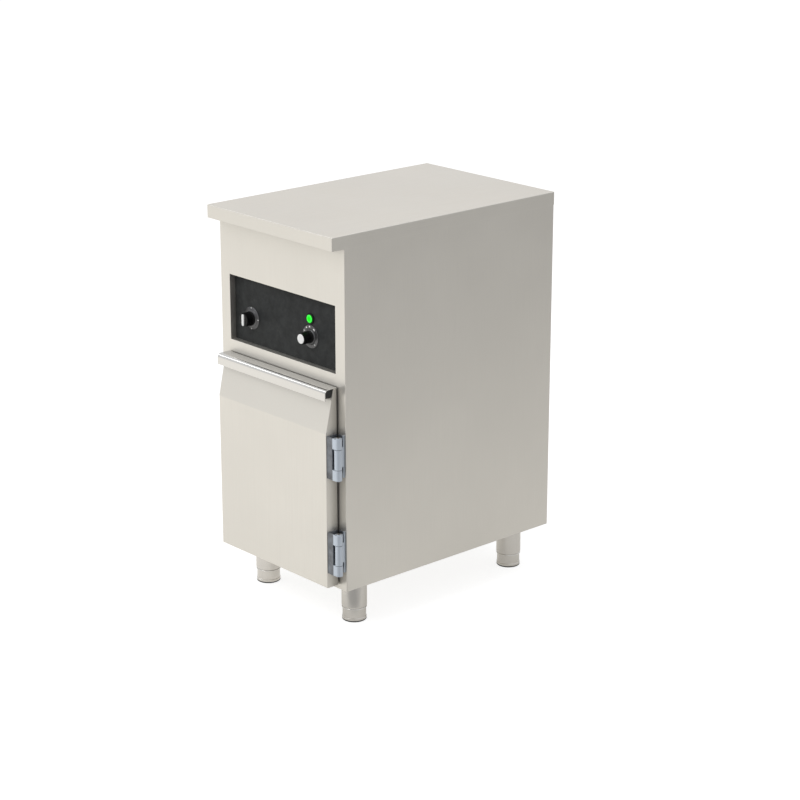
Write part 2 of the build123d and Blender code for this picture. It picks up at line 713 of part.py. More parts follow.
def door_handle():
    """Strip folded forward over the door's top edge, with a rounded nose and a hemmed lip."""
    nose = FRONT - HANDLE_REACH
    rear = FRONT - HANDLE_BACK
    radius = HANDLE_RADIUS
    sheet = HANDLE_SHEET
    inner = radius - sheet
    centre_y = nose + radius
    centre_z = HANDLE_TOP - radius
    step_y = FRONT - DOOR_TOP_FACE
    hem_y = nose + HANDLE_HEM
    turn = math.radians(135)
    outer_mid = (0, centre_y + radius * math.cos(turn), centre_z + radius * math.sin(turn))
    inner_mid = (0, centre_y + inner * math.cos(turn), centre_z + inner * math.sin(turn))
    lines = [
        Line((0, rear, HANDLE_TOP), (0, centre_y, HANDLE_TOP)),
        ThreePointArc((0, centre_y, HANDLE_TOP), outer_mid, (0, nose, centre_z)),
        Line((0, nose, centre_z), (0, nose, HANDLE_LIP)),
        Line((0, nose, HANDLE_LIP), (0, hem_y, HANDLE_LIP)),
        Line((0, hem_y, HANDLE_LIP), (0, hem_y, HANDLE_LIP + sheet)),
        Line((0, hem_y, HANDLE_LIP + sheet), (0, nose + sheet, HANDLE_LIP + sheet)),
        Line((0, nose + sheet, HANDLE_LIP + sheet), (0, nose + sheet, centre_z)),
        ThreePointArc((0, nose + sheet, centre_z), inner_mid, (0, centre_y, HANDLE_TOP - sheet)),
        Line((0, centre_y, HANDLE_TOP - sheet), (0, step_y, HANDLE_TOP - sheet)),
        Line((0, step_y, HANDLE_TOP - sheet), (0, step_y, DOOR_TOP)),
        Line((0, step_y, DOOR_TOP), (0, rear, DOOR_TOP)),
        Line((0, rear, DOOR_TOP), (0, rear, HANDLE_TOP)),
    ]
    outline = make_face(Wire(lines))
    strip = extrude(outline, amount=2 * DOOR_HALF_WIDTH, dir=(1, 0, 0))
    return Pos(-DOOR_HALF_WIDTH, 0, 0) * strip


# Hinges

def knuckle_spans(bottom):
    """The heights of the lower, middle and upper knuckle."""
    end = (HINGE_HEIGHT - MIDDLE_KNUCKLE) / 2 - KNUCKLE_GAP
    middle_low = bottom + end + KNUCKLE_GAP
    middle_high = middle_low + MIDDLE_KNUCKLE
    top = bottom + HINGE_HEIGHT
    return (bottom, bottom + end), (middle_low, middle_high), (top - end, top)


def hinge_bore(bottom):
    """The hole for the pin, through all three knuckles."""
    axis_y = FRONT - HINGE_Y
    return rod_z(HINGE_X, axis_y, bottom - 1, bottom + HINGE_HEIGHT + 1, PIN_RADIUS + PIN_CLEARANCE)


def hinge_door_leaf(bottom):
    """Angle on the door's corner, with a rib near each end and the two outer knuckles."""
    side = DOOR_HALF_WIDTH
    inner = side + DOOR_LEAF_SIDE
    axis_y = FRONT - HINGE_Y
    face = axis_y - KNUCKLE_RADIUS
    face_back = face + DOOR_LEAF_FACE
    rear = FRONT - DOOR_LEAF_BACK
    lower, _, upper = knuckle_spans(bottom)
    top = bottom + HINGE_HEIGHT
    leaf = block(side, inner, face, rear, bottom, top) + block(side, HINGE_X, face, face_back, bottom, top)
    leaf -= block(HINGE_X - DOOR_LEAF_SLOT, HINGE_X + 1, face - 1, face_back + 1, lower[1], upper[0])
    rib = [(side, face), (HINGE_X, face), (HINGE_X - KNUCKLE_RADIUS, axis_y), (inner, rear), (side, rear)]
    for low in (bottom + DOOR_LEAF_RIB_INSET, top - DOOR_LEAF_RIB_INSET - DOOR_LEAF_RIB):
        leaf += plan_profile(rib, low, low + DOOR_LEAF_RIB)
    for low, high in (lower, upper):
        leaf += rod_z(HINGE_X, axis_y, low, high, KNUCKLE_RADIUS)
    leaf -= hinge_bore(bottom)
    for y, z in door_screw_places(bottom):
        leaf -= rod_x(y, z, side - 1, inner + 1, HINGE_SCREW_RADIUS)
    return leaf


def door_screw_places(bottom):
    """Y and Z of the screws in the door leaf."""
    y = FRONT - HINGE_SCREW_Y
    return [(y, bottom + HINGE_SCREW_END), (y, bottom + HINGE_HEIGHT - HINGE_SCREW_END)]


def door_hinge_screws(bottom):
    """Screws that hold the leaf to the door's side, flush with it."""
    screws = []
    x1 = DOOR_HALF_WIDTH + DOOR_LEAF_SIDE
    for y, z in door_screw_places(bottom):
        screws.append(rod_x(y, z, DOOR_HALF_WIDTH - DOOR_SKIN, x1, HINGE_SCREW_RADIUS))
    return screws


def hinge_frame_leaf(bottom):
    """Plate on the front frame, with a bracket forward to the middle knuckle."""
    axis_y = FRONT - HINGE_Y
    low, high = knuckle_spans(bottom)[1]
    top = bottom + HINGE_HEIGHT
    leaf = block(FRAME_LEAF_START, FRAME_LEAF_EDGE, FRONT - FRAME_LEAF, FRONT, bottom, top)
    leaf += block(HINGE_X - KNUCKLE_RADIUS, FRAME_LEAF_EDGE, axis_y, FRONT, low, high)
    leaf += rod_z(HINGE_X, axis_y, low, high, KNUCKLE_RADIUS)
    return leaf - hinge_bore(bottom)


def hinge_pin(bottom):
    """Pin with a flat head at both ends, carried by the door leaf."""
    axis_y = FRONT - HINGE_Y
    top = bottom + HINGE_HEIGHT
    pin = rod_z(HINGE_X, axis_y, bottom - PIN_HEAD, top + PIN_HEAD, PIN_RADIUS)
    pin += rod_z(HINGE_X, axis_y, bottom - PIN_HEAD, bottom, PIN_HEAD_RADIUS)
    pin += rod_z(HINGE_X, axis_y, top, top + PIN_HEAD, PIN_HEAD_RADIUS)
    return pin


def hinge_washers(bottom):
    """Plastic washers under the upper knuckle and over the lower one."""
    axis_y = FRONT - HINGE_Y
    lower, _, upper = knuckle_spans(bottom)
    hole = PIN_RADIUS + PIN_CLEARANCE
    rings = []
    for low, high in ((lower[1], lower[1] + WASHER_THICKNESS), (upper[0] - WASHER_THICKNESS, upper[0])):
        ring = rod_z(HINGE_X, axis_y, low, high, WASHER_RADIUS)
        rings.append(ring - rod_z(HINGE_X, axis_y, low - 1, high + 1, hole))
    return rings


# Controls

def control_panel():
    """Black plate at the back of the recess, drilled for the controls."""
    half = RECESS_WIDTH / 2 + FRAME_SHEET
    low = RECESS_BOTTOM - FRAME_SHEET
    plate = block(-half, half, PANEL_FACE, PANEL_BACK, low, RECESS_TOP + FRAME_SHEET)
    holes = [
        rod_y(SELECTOR_X, SELECTOR_Z, PANEL_FACE - 1, PANEL_BACK + 1, NECK_RADIUS),
        rod_y(THERMOSTAT_X, THERMOSTAT_Z, PANEL_FACE - 1, PANEL_BACK + 1, NECK_RADIUS),
        rod_y(THERMOSTAT_X, LAMP_Z, PANEL_FACE - 1, PANEL_BACK + 1, LAMP_NECK_RADIUS),
    ]
    return plate - holes


def control_shelf():
    """Floor of the control space, with holes for the leads."""
    side = SIDE - SKIN
    high = CONTROL_FLOOR + SKIN
    sheet = block(-side, side, FRAME_BACK, BACK - SKIN, CONTROL_FLOOR, high)
    lip = block(-side, side, FRAME_BACK, FRAME_BACK + SKIN, CONTROL_FLOOR, CONTROL_FLOOR + FLANGE)
    holes = []
    for x in (-LEAD_X, LEAD_X, CAPILLARY_X, GLAND_X):
        holes.append(rod_z(x, CHANNEL_Y, CONTROL_FLOOR - 1, high + 1, SHELF_HOLE))
    return sheet + lip - holes


def scale_disc(x, z):
    """Tapered scale ring on the panel round a spindle."""
    disc = cone_y(x, z, PANEL_FACE - SCALE_THICKNESS, PANEL_FACE, SCALE_TOP_RADIUS, SCALE_RADIUS)
    return disc - rod_y(x, z, PANEL_FACE - SCALE_THICKNESS - 1, PANEL_FACE + 1, NECK_RADIUS)


def control_body(x, z, half_width, half_height, depth):
    """Housing behind the panel with a threaded neck through it and a bore for the spindle."""
    housing = block(x - half_width, x + half_width, PANEL_BACK, PANEL_BACK + depth,
                    z - half_height, z + half_height)
    housing = fillet(outer_edges(housing, Axis.Y), 2 * KNOB_EDGE)
    neck = rod_y(x, z, PANEL_FACE, PANEL_BACK, NECK_RADIUS)
    bore_end = PANEL_BACK + SHAFT_IN_HOUSING + 1
    bore = rod_y(x, z, PANEL_FACE - 1, bore_end, SHAFT_RADIUS + SHAFT_FIT)
    return housing + neck - bore


def control_spindle(x, z, knob_depth):
    """Round spindle from inside the housing to inside the knob."""
    rear = knob_front(knob_depth) + knob_depth
    return rod_y(x, z, rear - SHAFT_IN_KNOB, PANEL_BACK + SHAFT_IN_HOUSING, SHAFT_RADIUS)


def knob_front(depth):
    """Where a knob's front face is."""
    return PANEL_FACE - SCALE_THICKNESS - KNOB_GAP - depth


def knob_body(x, z, radius, depth):
    """Round knob, a little narrower in front, with a blind hole for its spindle."""
    front = knob_front(depth)
    rear = front + depth
    body = cone_y(x, z, front, rear, radius - KNOB_TAPER, radius)
    body = fillet(body.edges().sort_by(Axis.Y)[0], KNOB_EDGE)
    return body - rod_y(x, z, rear - SHAFT_IN_KNOB, rear + 1, SHAFT_RADIUS)


def selector_pointer():
    """Raised white bar on the front of the selector knob."""
    front = knob_front(SELECTOR_KNOB_DEPTH)
    bar = extrude(SlotOverall(POINTER_LENGTH, POINTER_WIDTH), amount=POINTER_DEPTH)
    bar = chamfer(bar.faces().sort_by(Axis.Z)[-1].edges(), POINTER_EDGE)
    return Pos(SELECTOR_X, front, SELECTOR_Z) * Rot(90, 0, 0) * Rot(0, 0, 90) * bar


def thermostat_cap():
    """White cap on the front of the thermostat knob."""
    front = knob_front(THERMOSTAT_KNOB_DEPTH)
    cap = rod_y(THERMOSTAT_X, THERMOSTAT_Z, front - CAP_DEPTH, front, CAP_RADIUS)
    return fillet(cap.edges().sort_by(Axis.Y)[0], CAP_EDGE)


def pilot_lamp_body():
    """Lamp housing behind the panel, with a rim in front."""
    x = THERMOSTAT_X
    rim = rod_y(x, LAMP_Z, PANEL_FACE - LAMP_RIM, PANEL_FACE, LAMP_RIM_RADIUS)
    rim = fillet(rim.edges().sort_by(Axis.Y)[0], CAP_EDGE)
    neck = rod_y(x, LAMP_Z, PANEL_FACE, PANEL_BACK + LAMP_DEPTH, LAMP_NECK_RADIUS)
    seat = rod_y(x, LAMP_Z, PANEL_FACE - LAMP_RIM - 1, PANEL_FACE - LAMP_SEAT, LAMP_RADIUS)
    return rim + neck - seat


def pilot_lamp_lens():
    """Domed lens in the lamp's rim."""
    base = PANEL_FACE - LAMP_SEAT
    height = LAMP_RIM - LAMP_SEAT + LAMP_DOME
    lens = rod_y(THERMOSTAT_X, LAMP_Z, base - height, base, LAMP_RADIUS)
    return fillet(lens.edges().sort_by(Axis.Y)[0], LAMP_DOME)


def terminal_block():
    """Row of screw terminals on the floor of the control space."""
    low = CONTROL_FLOOR + SKIN
    high = low + TERMINAL_HEIGHT
    right = terminal_x(TERMINAL_COUNT)
    body = block(TERMINAL_LEFT, right, TERMINAL_REAR - TERMINAL_DEPTH, TERMINAL_REAR, low, high)
    wells = []
    for index in range(TERMINAL_COUNT):
        for y in (TERMINAL_FRONT_ROW, TERMINAL_REAR_ROW):
            wells.append(rod_z(terminal_x(index), y, high - TERMINAL_WELL_DEPTH, high + 1, TERMINAL_WELL))
    return body - wells


def terminal_x(index):
    """X of one terminal, counted from the left."""
    return TERMINAL_LEFT + (index + 0.5) * TERMINAL_PITCH


def overheat_cutout():
    """Disc thermal cut-out on a plate over the chamber."""
    low = CONTROL_FLOOR + SKIN
    plate_top = low + FRAME_SHEET
    can_top = plate_top + CUTOUT_CAN[1]
    x, y = CUTOUT_X, CUTOUT_Y
    half_x, half_y = CUTOUT_PLATE[0] / 2, CUTOUT_PLATE[1] / 2
    plate = block(x - half_x, x + half_x, y - half_y, y + half_y, low, plate_top)
    can = rod_z(x, y, plate_top, can_top, CUTOUT_CAN[0])
    head = rod_z(x, y, can_top, can_top + CUTOUT_HEAD[1], CUTOUT_HEAD[0])
    return plate + can + head


# Wires, capillary and cable entry

def heater_leads():
    """Leads from the element's ends, up the channels in the back wall, to the terminals."""
    leads = []
    level = CONTROL_FLOOR + LEAD_RISE
    y = CHANNEL_Y
    rear = CHANNEL_Y + LEAD_SWING
    well_floor = CONTROL_FLOOR + SKIN + TERMINAL_HEIGHT - TERMINAL_WELL_DEPTH
    for x, end_x in ((-LEAD_X, terminal_x(0)), (LEAD_X, terminal_x(TERMINAL_COUNT - 1))):
        points = [
            (x, ELEMENT_END, ELEMENT_HEIGHT),
            (x, rear, ELEMENT_HEIGHT),
            (x, rear, ELEMENT_HEIGHT + LEAD_RISE),
            (x, y, ELEMENT_HEIGHT + 2 * LEAD_RISE),
            (x, y, level),
            (end_x, TERMINAL_REAR_ROW, level),
            (end_x, TERMINAL_REAR_ROW, well_floor),
        ]
        leads.append(tube_along(points, LEAD_BENDS, WIRE_RADIUS))
    return leads


def control_wiring():
    """Wires along the control space, from the terminals to the switch, thermostat and lamp."""
    wires = []
    well_floor = CONTROL_FLOOR + SKIN + TERMINAL_HEIGHT - TERMINAL_WELL_DEPTH
    level = well_floor + TERMINAL_HEIGHT
    switch_rear = PANEL_BACK + SWITCH_DEPTH
    thermostat_rear = PANEL_BACK + THERMOSTAT_DEPTH
    lamp_rear = PANEL_BACK + LAMP_DEPTH
    ends = (
        (SELECTOR_X + WIRE_SPREAD, switch_rear, SELECTOR_Z - WIRE_SPREAD),
        (SELECTOR_X + 2 * WIRE_SPREAD, switch_rear, SELECTOR_Z + WIRE_SPREAD),
        (THERMOSTAT_X - WIRE_SPREAD, thermostat_rear, THERMOSTAT_Z - WIRE_SPREAD),
        (THERMOSTAT_X, lamp_rear, LAMP_Z),
    )
    for index, (x1, rear, z1) in enumerate(ends):
        x0 = terminal_x(index + 1)
        lane = level + index * WIRE_LANE
        points = [
            (x0, TERMINAL_FRONT_ROW, well_floor),
            (x0, TERMINAL_FRONT_ROW, lane),
            (x0, TERMINAL_FRONT_ROW - 1.5 * WIRE_REACH, lane),
            (x1, rear + 4 * WIRE_REACH, lane),
            (x1, rear + WIRE_REACH, z1),
            (x1, rear, z1),
        ]
        wires.append(tube_along(points, WIRE_BENDS, WIRE_RADIUS))
    return wires


def capillary_sensor():
    """Thermostat bulb on the chamber's back wall, with its capillary to the thermostat."""
    bulb_y = CHAMBER_BACK - BULB_RADIUS - 1
    bulb_end = BULB_X + BULB_LENGTH / 2
    bulb = rod_x(bulb_y, BULB_Z, BULB_X - BULB_LENGTH / 2, bulb_end, BULB_RADIUS)
    level = CONTROL_FLOOR + TERMINAL_HEIGHT
    rear = PANEL_BACK + THERMOSTAT_DEPTH
    x1 = THERMOSTAT_X + WIRE_SPREAD
    z1 = THERMOSTAT_Z + WIRE_SPREAD
    points = [
        (bulb_end - 1, bulb_y, BULB_Z),
        (CAPILLARY_X, bulb_y, BULB_Z),
        (CAPILLARY_X, CHANNEL_Y, BULB_Z),
        (CAPILLARY_X, CHANNEL_Y, level),
        (CAPILLARY_X, CHANNEL_Y - 4 * WIRE_REACH, level),
        (x1, rear + 4 * WIRE_REACH, level),
        (x1, rear + WIRE_REACH, z1),
        (x1, rear, z1),
    ]
    line = tube_along(points, CAPILLARY_BENDS, CAPILLARY_RADIUS)
    return bulb + line


def cable_gland():
    """Cable gland in the base sheet, with its cable bore left open."""
    low = LEG_HEIGHT - GLAND_DROP
    dome_top = low + GLAND_DOME
    top = LEG_HEIGHT + GLAND_THREAD_LENGTH
    y = CHANNEL_Y
    dome = rod_z(GLAND_X, y, low, dome_top, GLAND_HEX / 2 - 1)
    dome = fillet(dome.edges().sort_by(Axis.Z)[0], GLAND_DOME_EDGE)
    hexagon = hex_z(GLAND_X, y, dome_top, LEG_HEIGHT, GLAND_HEX)
    thread = rod_z(GLAND_X, y, LEG_HEIGHT, top, GLAND_THREAD)
    return dome + hexagon + thread - rod_z(GLAND_X, y, low - 1, top + 1, GLAND_BORE)


def gland_nut():
    """Lock nut of the gland, inside the cabinet."""
    low = LEG_HEIGHT + BASE_SHEET
    high = low + GLAND_NUT
    nut = hex_z(GLAND_X, CHANNEL_Y, low, high, GLAND_HEX)
    return nut - rod_z(GLAND_X, CHANNEL_Y, low - 1, high + 1, GLAND_THREAD)


# Write every node

def build():
    """Make each piece and write its file."""
    save("worktop", worktop())
    save("worktop_core", worktop_core())
    save("left_side_panel", side_panel(-1))
    save("right_side_panel", side_panel(1))
    save("back_panel", back_panel())
    save("base_panel", base_panel())
    save("front_frame", front_frame())
    save("liner_left_wall", liner_side(-1))
    save("liner_right_wall", liner_side(1))
    save("liner_back_wall", liner_back())
    save("liner_ceiling", liner_ceiling())
    save("liner_floor", liner_floor())
    save("cabinet_insulation", insulation())
    save("pan_runners", pan_runners())
    save("wire_shelves", [wire_shelf(level) for level in SHELF_LEVELS])
    save("heating_element", heating_element())
    save("element_nuts", element_nuts())
    save("element_brackets", element_brackets())
    save("heat_deflector", heat_deflector())
    save("leg_tubes", [leg_tube(x, y) for x, y in LEG_PLACES.values()])
    save("leg_spindles", [leg_spindle(x, y) for x, y in LEG_PLACES.values()])
    save("leg_plates", [leg_plate(x, y) for x, y in LEG_PLACES.values()])
    for name, (x, y) in LEG_PLACES.items():
        save("foot_" + name, foot(x, y))
        save("foot_pad_" + name, foot_pad(x, y))
    save("door_front_panel", door_front_panel())
    save("door_inner_panel", door_inner_panel())
    save("door_insulation", door_insulation())
    save("door_gasket", door_gasket())
    save("door_handle", door_handle())
    save("hinge_door_leaves", [hinge_door_leaf(bottom) for bottom in HINGE_BOTTOMS])
    save("hinge_frame_leaves", [hinge_frame_leaf(bottom) for bottom in HINGE_BOTTOMS])
    save("hinge_pins", [hinge_pin(bottom) for bottom in HINGE_BOTTOMS])
    save("hinge_washers", [ring for bottom in HINGE_BOTTOMS for ring in hinge_washers(bottom)])
    save("door_hinge_screws", [screw for bottom in HINGE_BOTTOMS for screw in door_hinge_screws(bottom)])
    save("control_panel", control_panel())
    save("control_shelf", control_shelf())
    save("selector_switch", control_body(SELECTOR_X, SELECTOR_Z, SWITCH_HALF_SIZE, SWITCH_HALF_SIZE,
                                         SWITCH_DEPTH))
    save("selector_scale", scale_disc(SELECTOR_X, SELECTOR_Z))
    save("selector_spindle", control_spindle(SELECTOR_X, SELECTOR_Z, SELECTOR_KNOB_DEPTH))
    save("selector_knob", knob_body(SELECTOR_X, SELECTOR_Z, SELECTOR_KNOB_RADIUS, SELECTOR_KNOB_DEPTH))
    save("selector_pointer", selector_pointer())
    save("thermostat_body", control_body(THERMOSTAT_X, THERMOSTAT_Z, THERMOSTAT_HALF_WIDTH,
                                         THERMOSTAT_HALF_HEIGHT, THERMOSTAT_DEPTH))
    save("thermostat_scale", scale_disc(THERMOSTAT_X, THERMOSTAT_Z))
    save("thermostat_spindle", control_spindle(THERMOSTAT_X, THERMOSTAT_Z, THERMOSTAT_KNOB_DEPTH))
    save("thermostat_knob", knob_body(THERMOSTAT_X, THERMOSTAT_Z, THERMOSTAT_KNOB_RADIUS,
                                      THERMOSTAT_KNOB_DEPTH))
    save("thermostat_cap", thermostat_cap())
    save("pilot_lamp_body", pilot_lamp_body())
    save("pilot_lamp_lens", pilot_lamp_lens())
    save("terminal_block", terminal_block())
    save("overheat_cutout", overheat_cutout())
    save("control_wiring", control_wiring())
    save("heater_leads", heater_leads())
    save("capillary_sensor", capillary_sensor())
    save("cable_gland", [cable_gland(), gland_nut()])


build()
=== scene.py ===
import json
import math

import bmesh
import bpy
from mathutils import Matrix, Vector


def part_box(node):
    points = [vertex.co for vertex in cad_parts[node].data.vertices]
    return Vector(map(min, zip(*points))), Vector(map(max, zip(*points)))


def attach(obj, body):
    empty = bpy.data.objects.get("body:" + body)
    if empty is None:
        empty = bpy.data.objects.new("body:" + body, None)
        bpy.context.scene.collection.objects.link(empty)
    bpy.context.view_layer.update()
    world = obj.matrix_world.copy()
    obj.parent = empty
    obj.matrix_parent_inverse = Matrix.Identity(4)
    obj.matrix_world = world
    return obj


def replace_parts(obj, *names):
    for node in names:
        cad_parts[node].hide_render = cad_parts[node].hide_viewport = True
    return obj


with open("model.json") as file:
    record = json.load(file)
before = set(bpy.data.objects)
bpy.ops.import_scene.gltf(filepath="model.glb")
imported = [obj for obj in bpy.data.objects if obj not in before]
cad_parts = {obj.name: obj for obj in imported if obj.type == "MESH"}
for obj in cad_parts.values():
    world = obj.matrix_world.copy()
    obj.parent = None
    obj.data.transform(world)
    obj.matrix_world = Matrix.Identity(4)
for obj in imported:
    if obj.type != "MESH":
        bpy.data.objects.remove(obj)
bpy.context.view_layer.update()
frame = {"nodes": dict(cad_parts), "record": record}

# Looks of the heated cupboard: materials, dial rings, knobs, lamp, door seal, screws, leg beads,
# black plugs that paint the shade inside the handle's nose, floor, lights and camera.
# Lengths are metres in the frame's own axes: X to the right, Y to the back, Z up.

MM = 0.001
NODES = frame["nodes"]


# Node helpers

NOISE_LOW = 0.3
NOISE_HIGH = 0.7
EDGE_SAMPLES = 4
EDGE_ROUND = 0.80
EDGE_FLAT = 0.99
CORNER_SAMPLES = 8
CORNER_SHUT = 0.45
CORNER_OPEN = 0.92


class Tree:
    """A node tree with short calls for the nodes used here."""

    def __init__(self, owner):
        owner.use_nodes = True
        self.nodes = owner.node_tree.nodes
        self.links = owner.node_tree.links

    def feed(self, socket, value):
        """Links the socket to another node's output, or gives it a plain value."""
        if isinstance(value, bpy.types.NodeSocket):
            self.links.new(value, socket)
        elif socket.type == "RGBA":
            socket.default_value = (*value, 1.0)
        else:
            socket.default_value = value

    def add(self, kind, inputs=None, **settings):
        """A new shader node with its settings, and its inputs by name or number."""
        node = self.nodes.new("ShaderNode" + kind)
        for name, value in settings.items():
            setattr(node, name, value)
        for key, value in (inputs or {}).items():
            self.feed(node.inputs[key], value)
        return node

    def math(self, operation, *values):
        """The result of a sum; each value is a number or another node's output."""
        return self.add("Math", dict(enumerate(values)), operation=operation).outputs["Value"]

    def vector(self, operation, first, second):
        """A node that works on two vectors."""
        return self.add("VectorMath", {0: first, 1: second}, operation=operation)

    def mix(self, factor, first, second, blend="MIX"):
        """Two colours mixed; each is a colour or another node's output."""
        node = self.add("Mix", {0: factor}, data_type="RGBA", blend_type=blend)
        colours = [socket for socket in node.inputs if socket.type == "RGBA"]
        self.feed(colours[0], first)
        self.feed(colours[1], second)
        return next(socket for socket in node.outputs if socket.type == "RGBA")

    def spread(self, value, low, high, start=NOISE_LOW, end=NOISE_HIGH):
        """The value moved from one range to another and kept inside it."""
        inputs = {"Value": value, "From Min": start, "From Max": end, "To Min": low, "To Max": high}
        return self.add("MapRange", inputs).outputs["Result"]


class Surface(Tree):
    """A new material's tree, with its shader and the object's own coordinates."""

    def __init__(self, name):
        self.material = bpy.data.materials.new(name)
        super().__init__(self.material)
        self.shader = self.nodes["Principled BSDF"]
        self.place = self.add("TexCoord").outputs["Object"]

    def paint(self, **inputs):
        """Sets or links the shader's inputs; base_color stands for Base Color."""
        for name, value in inputs.items():
            key = name.replace("_", " ").title().replace("Ior", "IOR")
            self.feed(self.shader.inputs[key], value)

    def axis(self, letter):
        """One coordinate of the surface point."""
        return self.add("SeparateXYZ", {"Vector": self.place}).outputs[letter]

    def along(self, direction, start):
        """How far the surface point lies from the start, measured along a direction."""
        reach = self.vector("DOT_PRODUCT", self.place, direction).outputs["Value"]
        return self.math("SUBTRACT", reach, start.dot(direction))

    def stretched(self, scale):
        """The object's coordinates, multiplied along each axis."""
        return self.add("Mapping", {"Vector": self.place, "Scale": scale}).outputs["Vector"]

    def noise(self, scale, detail=4.0, roughness=0.55, vector=None):
        """Noise that mostly runs from NOISE_LOW to NOISE_HIGH."""
        inputs = {"Scale": scale, "Detail": detail, "Roughness": roughness}
        inputs["Vector"] = vector or self.place
        return self.add("TexNoise", inputs).outputs["Fac"]

    def edge_mask(self, radius):
        """0 on flat faces, up to 1 along edges of about that radius; and the rounded normal."""
        bevel = self.add("Bevel", {"Radius": radius}, samples=EDGE_SAMPLES)
        plain = self.add("NewGeometry")
        dot = self.vector("DOT_PRODUCT", bevel.outputs["Normal"], plain.outputs["Normal"])
        mask = self.spread(dot.outputs["Value"], 1.0, 0.0, EDGE_ROUND, EDGE_FLAT)
        return mask, bevel.outputs["Normal"]

    def painted_corner_shade(self, tone, reach, level):
        """The tone darkened to a level in corners that are closer than the reach: painted shade
        where the corners lie in shade.
        """
        corners = self.add("AmbientOcclusion", {"Distance": reach}, samples=CORNER_SAMPLES)
        shade = self.spread(corners.outputs["AO"], level, 1.0, CORNER_SHUT, CORNER_OPEN)
        grey = self.add("CombineColor", {0: shade, 1: shade, 2: shade})
        return self.mix(1.0, tone, grey.outputs["Color"], "MULTIPLY")

    def bump(self, height, strength, distance, normal=None):
        """Relief on the surface, over a rounded normal where one is given."""
        inputs = {"Height": height, "Strength": strength, "Distance": distance}
        if normal is not None:
            inputs["Normal"] = normal
        self.paint(normal=self.add("Bump", inputs).outputs["Normal"])


# Materials

METAL_FINE = dict(detail=3.0, roughness=0.6)
METAL_CLOUD = dict(scale=3.2, detail=3.0)
METAL_WIPED = dict(scale=9.0, detail=5.0, roughness=0.62)
METAL_FINE_SHARE = 0.5
METAL_EDGE = 0.6 * MM
METAL_WORN = 0.35
METAL_WORN_TONE = 1.12
METAL_WIPED_SHEEN = 0.035
METAL_FINE_SHEEN = 0.02
METAL_BUMP = 0.25
METAL_RELIEF = 0.02 * MM
TOP_SHADE_LIP = (0.2 * MM, 0.1 * MM)

PLASTIC_CLOUD = 0.06
PLASTIC_EDGE = 0.4 * MM
PLASTIC_WORN = 0.25
PLASTIC_WORN_TONE = 1.5
PLASTIC_SHEEN = 0.06
PLASTIC_BUMP = 0.4
PLASTIC_RELIEF = 0.04 * MM

SLATE_BROAD = dict(scale=34.0, detail=6.0, roughness=0.68)
SLATE_BROAD_RANGE = (0.34, 0.66)
SLATE_PATCH = dict(scale=110.0, detail=5.0, roughness=0.6)
SLATE_FINE = dict(scale=900.0, detail=2.0)
SLATE_DARK = (0.015, 0.016, 0.016)
SLATE_LIGHT = (0.040, 0.043, 0.043)
SLATE_MIDDLE = (0.024, 0.025, 0.026)
SLATE_MIDDLE_SHARE = 0.5
SLATE_ROUGHNESS = (0.42, 0.56)
SLATE_SPECULAR = 0.15
SLATE_FINE_HEIGHT = 0.3
SLATE_BUMP = 0.35
SLATE_RELIEF = 0.2 * MM

WOOL_FIBRES = dict(scale=1.0, detail=5.0, roughness=0.7)
WOOL_RUNS = ((900.0, 120.0, 900.0), (120.0, 900.0, 500.0))
WOOL_RANGE = (0.45, 0.75)
WOOL_CLOUD = dict(scale=28.0, detail=4.0)
WOOL_TONES = (0.78, 1.08)
WOOL_FIBRE_TONE = 1.25
WOOL_FIBRE_SHARE = 0.7
WOOL_ROUGHNESS = (0.85, 0.98)
WOOL_BUMP = 0.8
WOOL_RELIEF = 0.8 * MM

BOARD_FLAKES = 160.0
BOARD_FINE = dict(scale=700.0, detail=3.0)
BOARD_TONES = (0.75, 1.2)
BOARD_ROUGHNESS = (0.7, 0.85)
BOARD_BUMP = 0.5
BOARD_RELIEF = 0.2 * MM

CAST_GRAIN = dict(scale=650.0, detail=4.0)
CAST_CLOUD = dict(scale=60.0, detail=4.0)
CAST_CLOUD_SHARE = 0.25
CAST_CLOUD_TONE = 1.1
CAST_BLEND = 0.5 * MM
CAST_EDGE = 0.5 * MM
CAST_WORN = 0.3
CAST_WORN_TONE = 1.25
CAST_ROUGHNESS = (0.3, 0.42)
CAST_METALLIC = 0.7
CAST_BUMP = 0.3
CAST_RELIEF = 0.05 * MM

# Rings of the lens are shares of its radius.
LENS_SPECKLE = dict(scale=1400.0, detail=2.0)
LENS_RING_RANGE = (0.35, 0.75)
LENS_RIM_RANGE = (0.80, 0.94)
LENS_MIDDLE_TONE = (0.0, 1.0, 0.0)
LENS_RING_TONE = (0.06, 0.87, 0.08)
LENS_RIM_TONE = (0.0, 0.11, 0.0)
LENS_GLOW = 0.62
LENS_RIM_GLOW = 0.05
LENS_ROUGHNESS = (0.25, 0.35)
LENS_SPECULAR = 0.12
LENS_BUMP = 0.2
LENS_RELIEF = 0.03 * MM


def scaled(colour, factor):
    """A lighter or darker tone of the colour."""
    return tuple(min(1.0, channel * factor) for channel in colour)


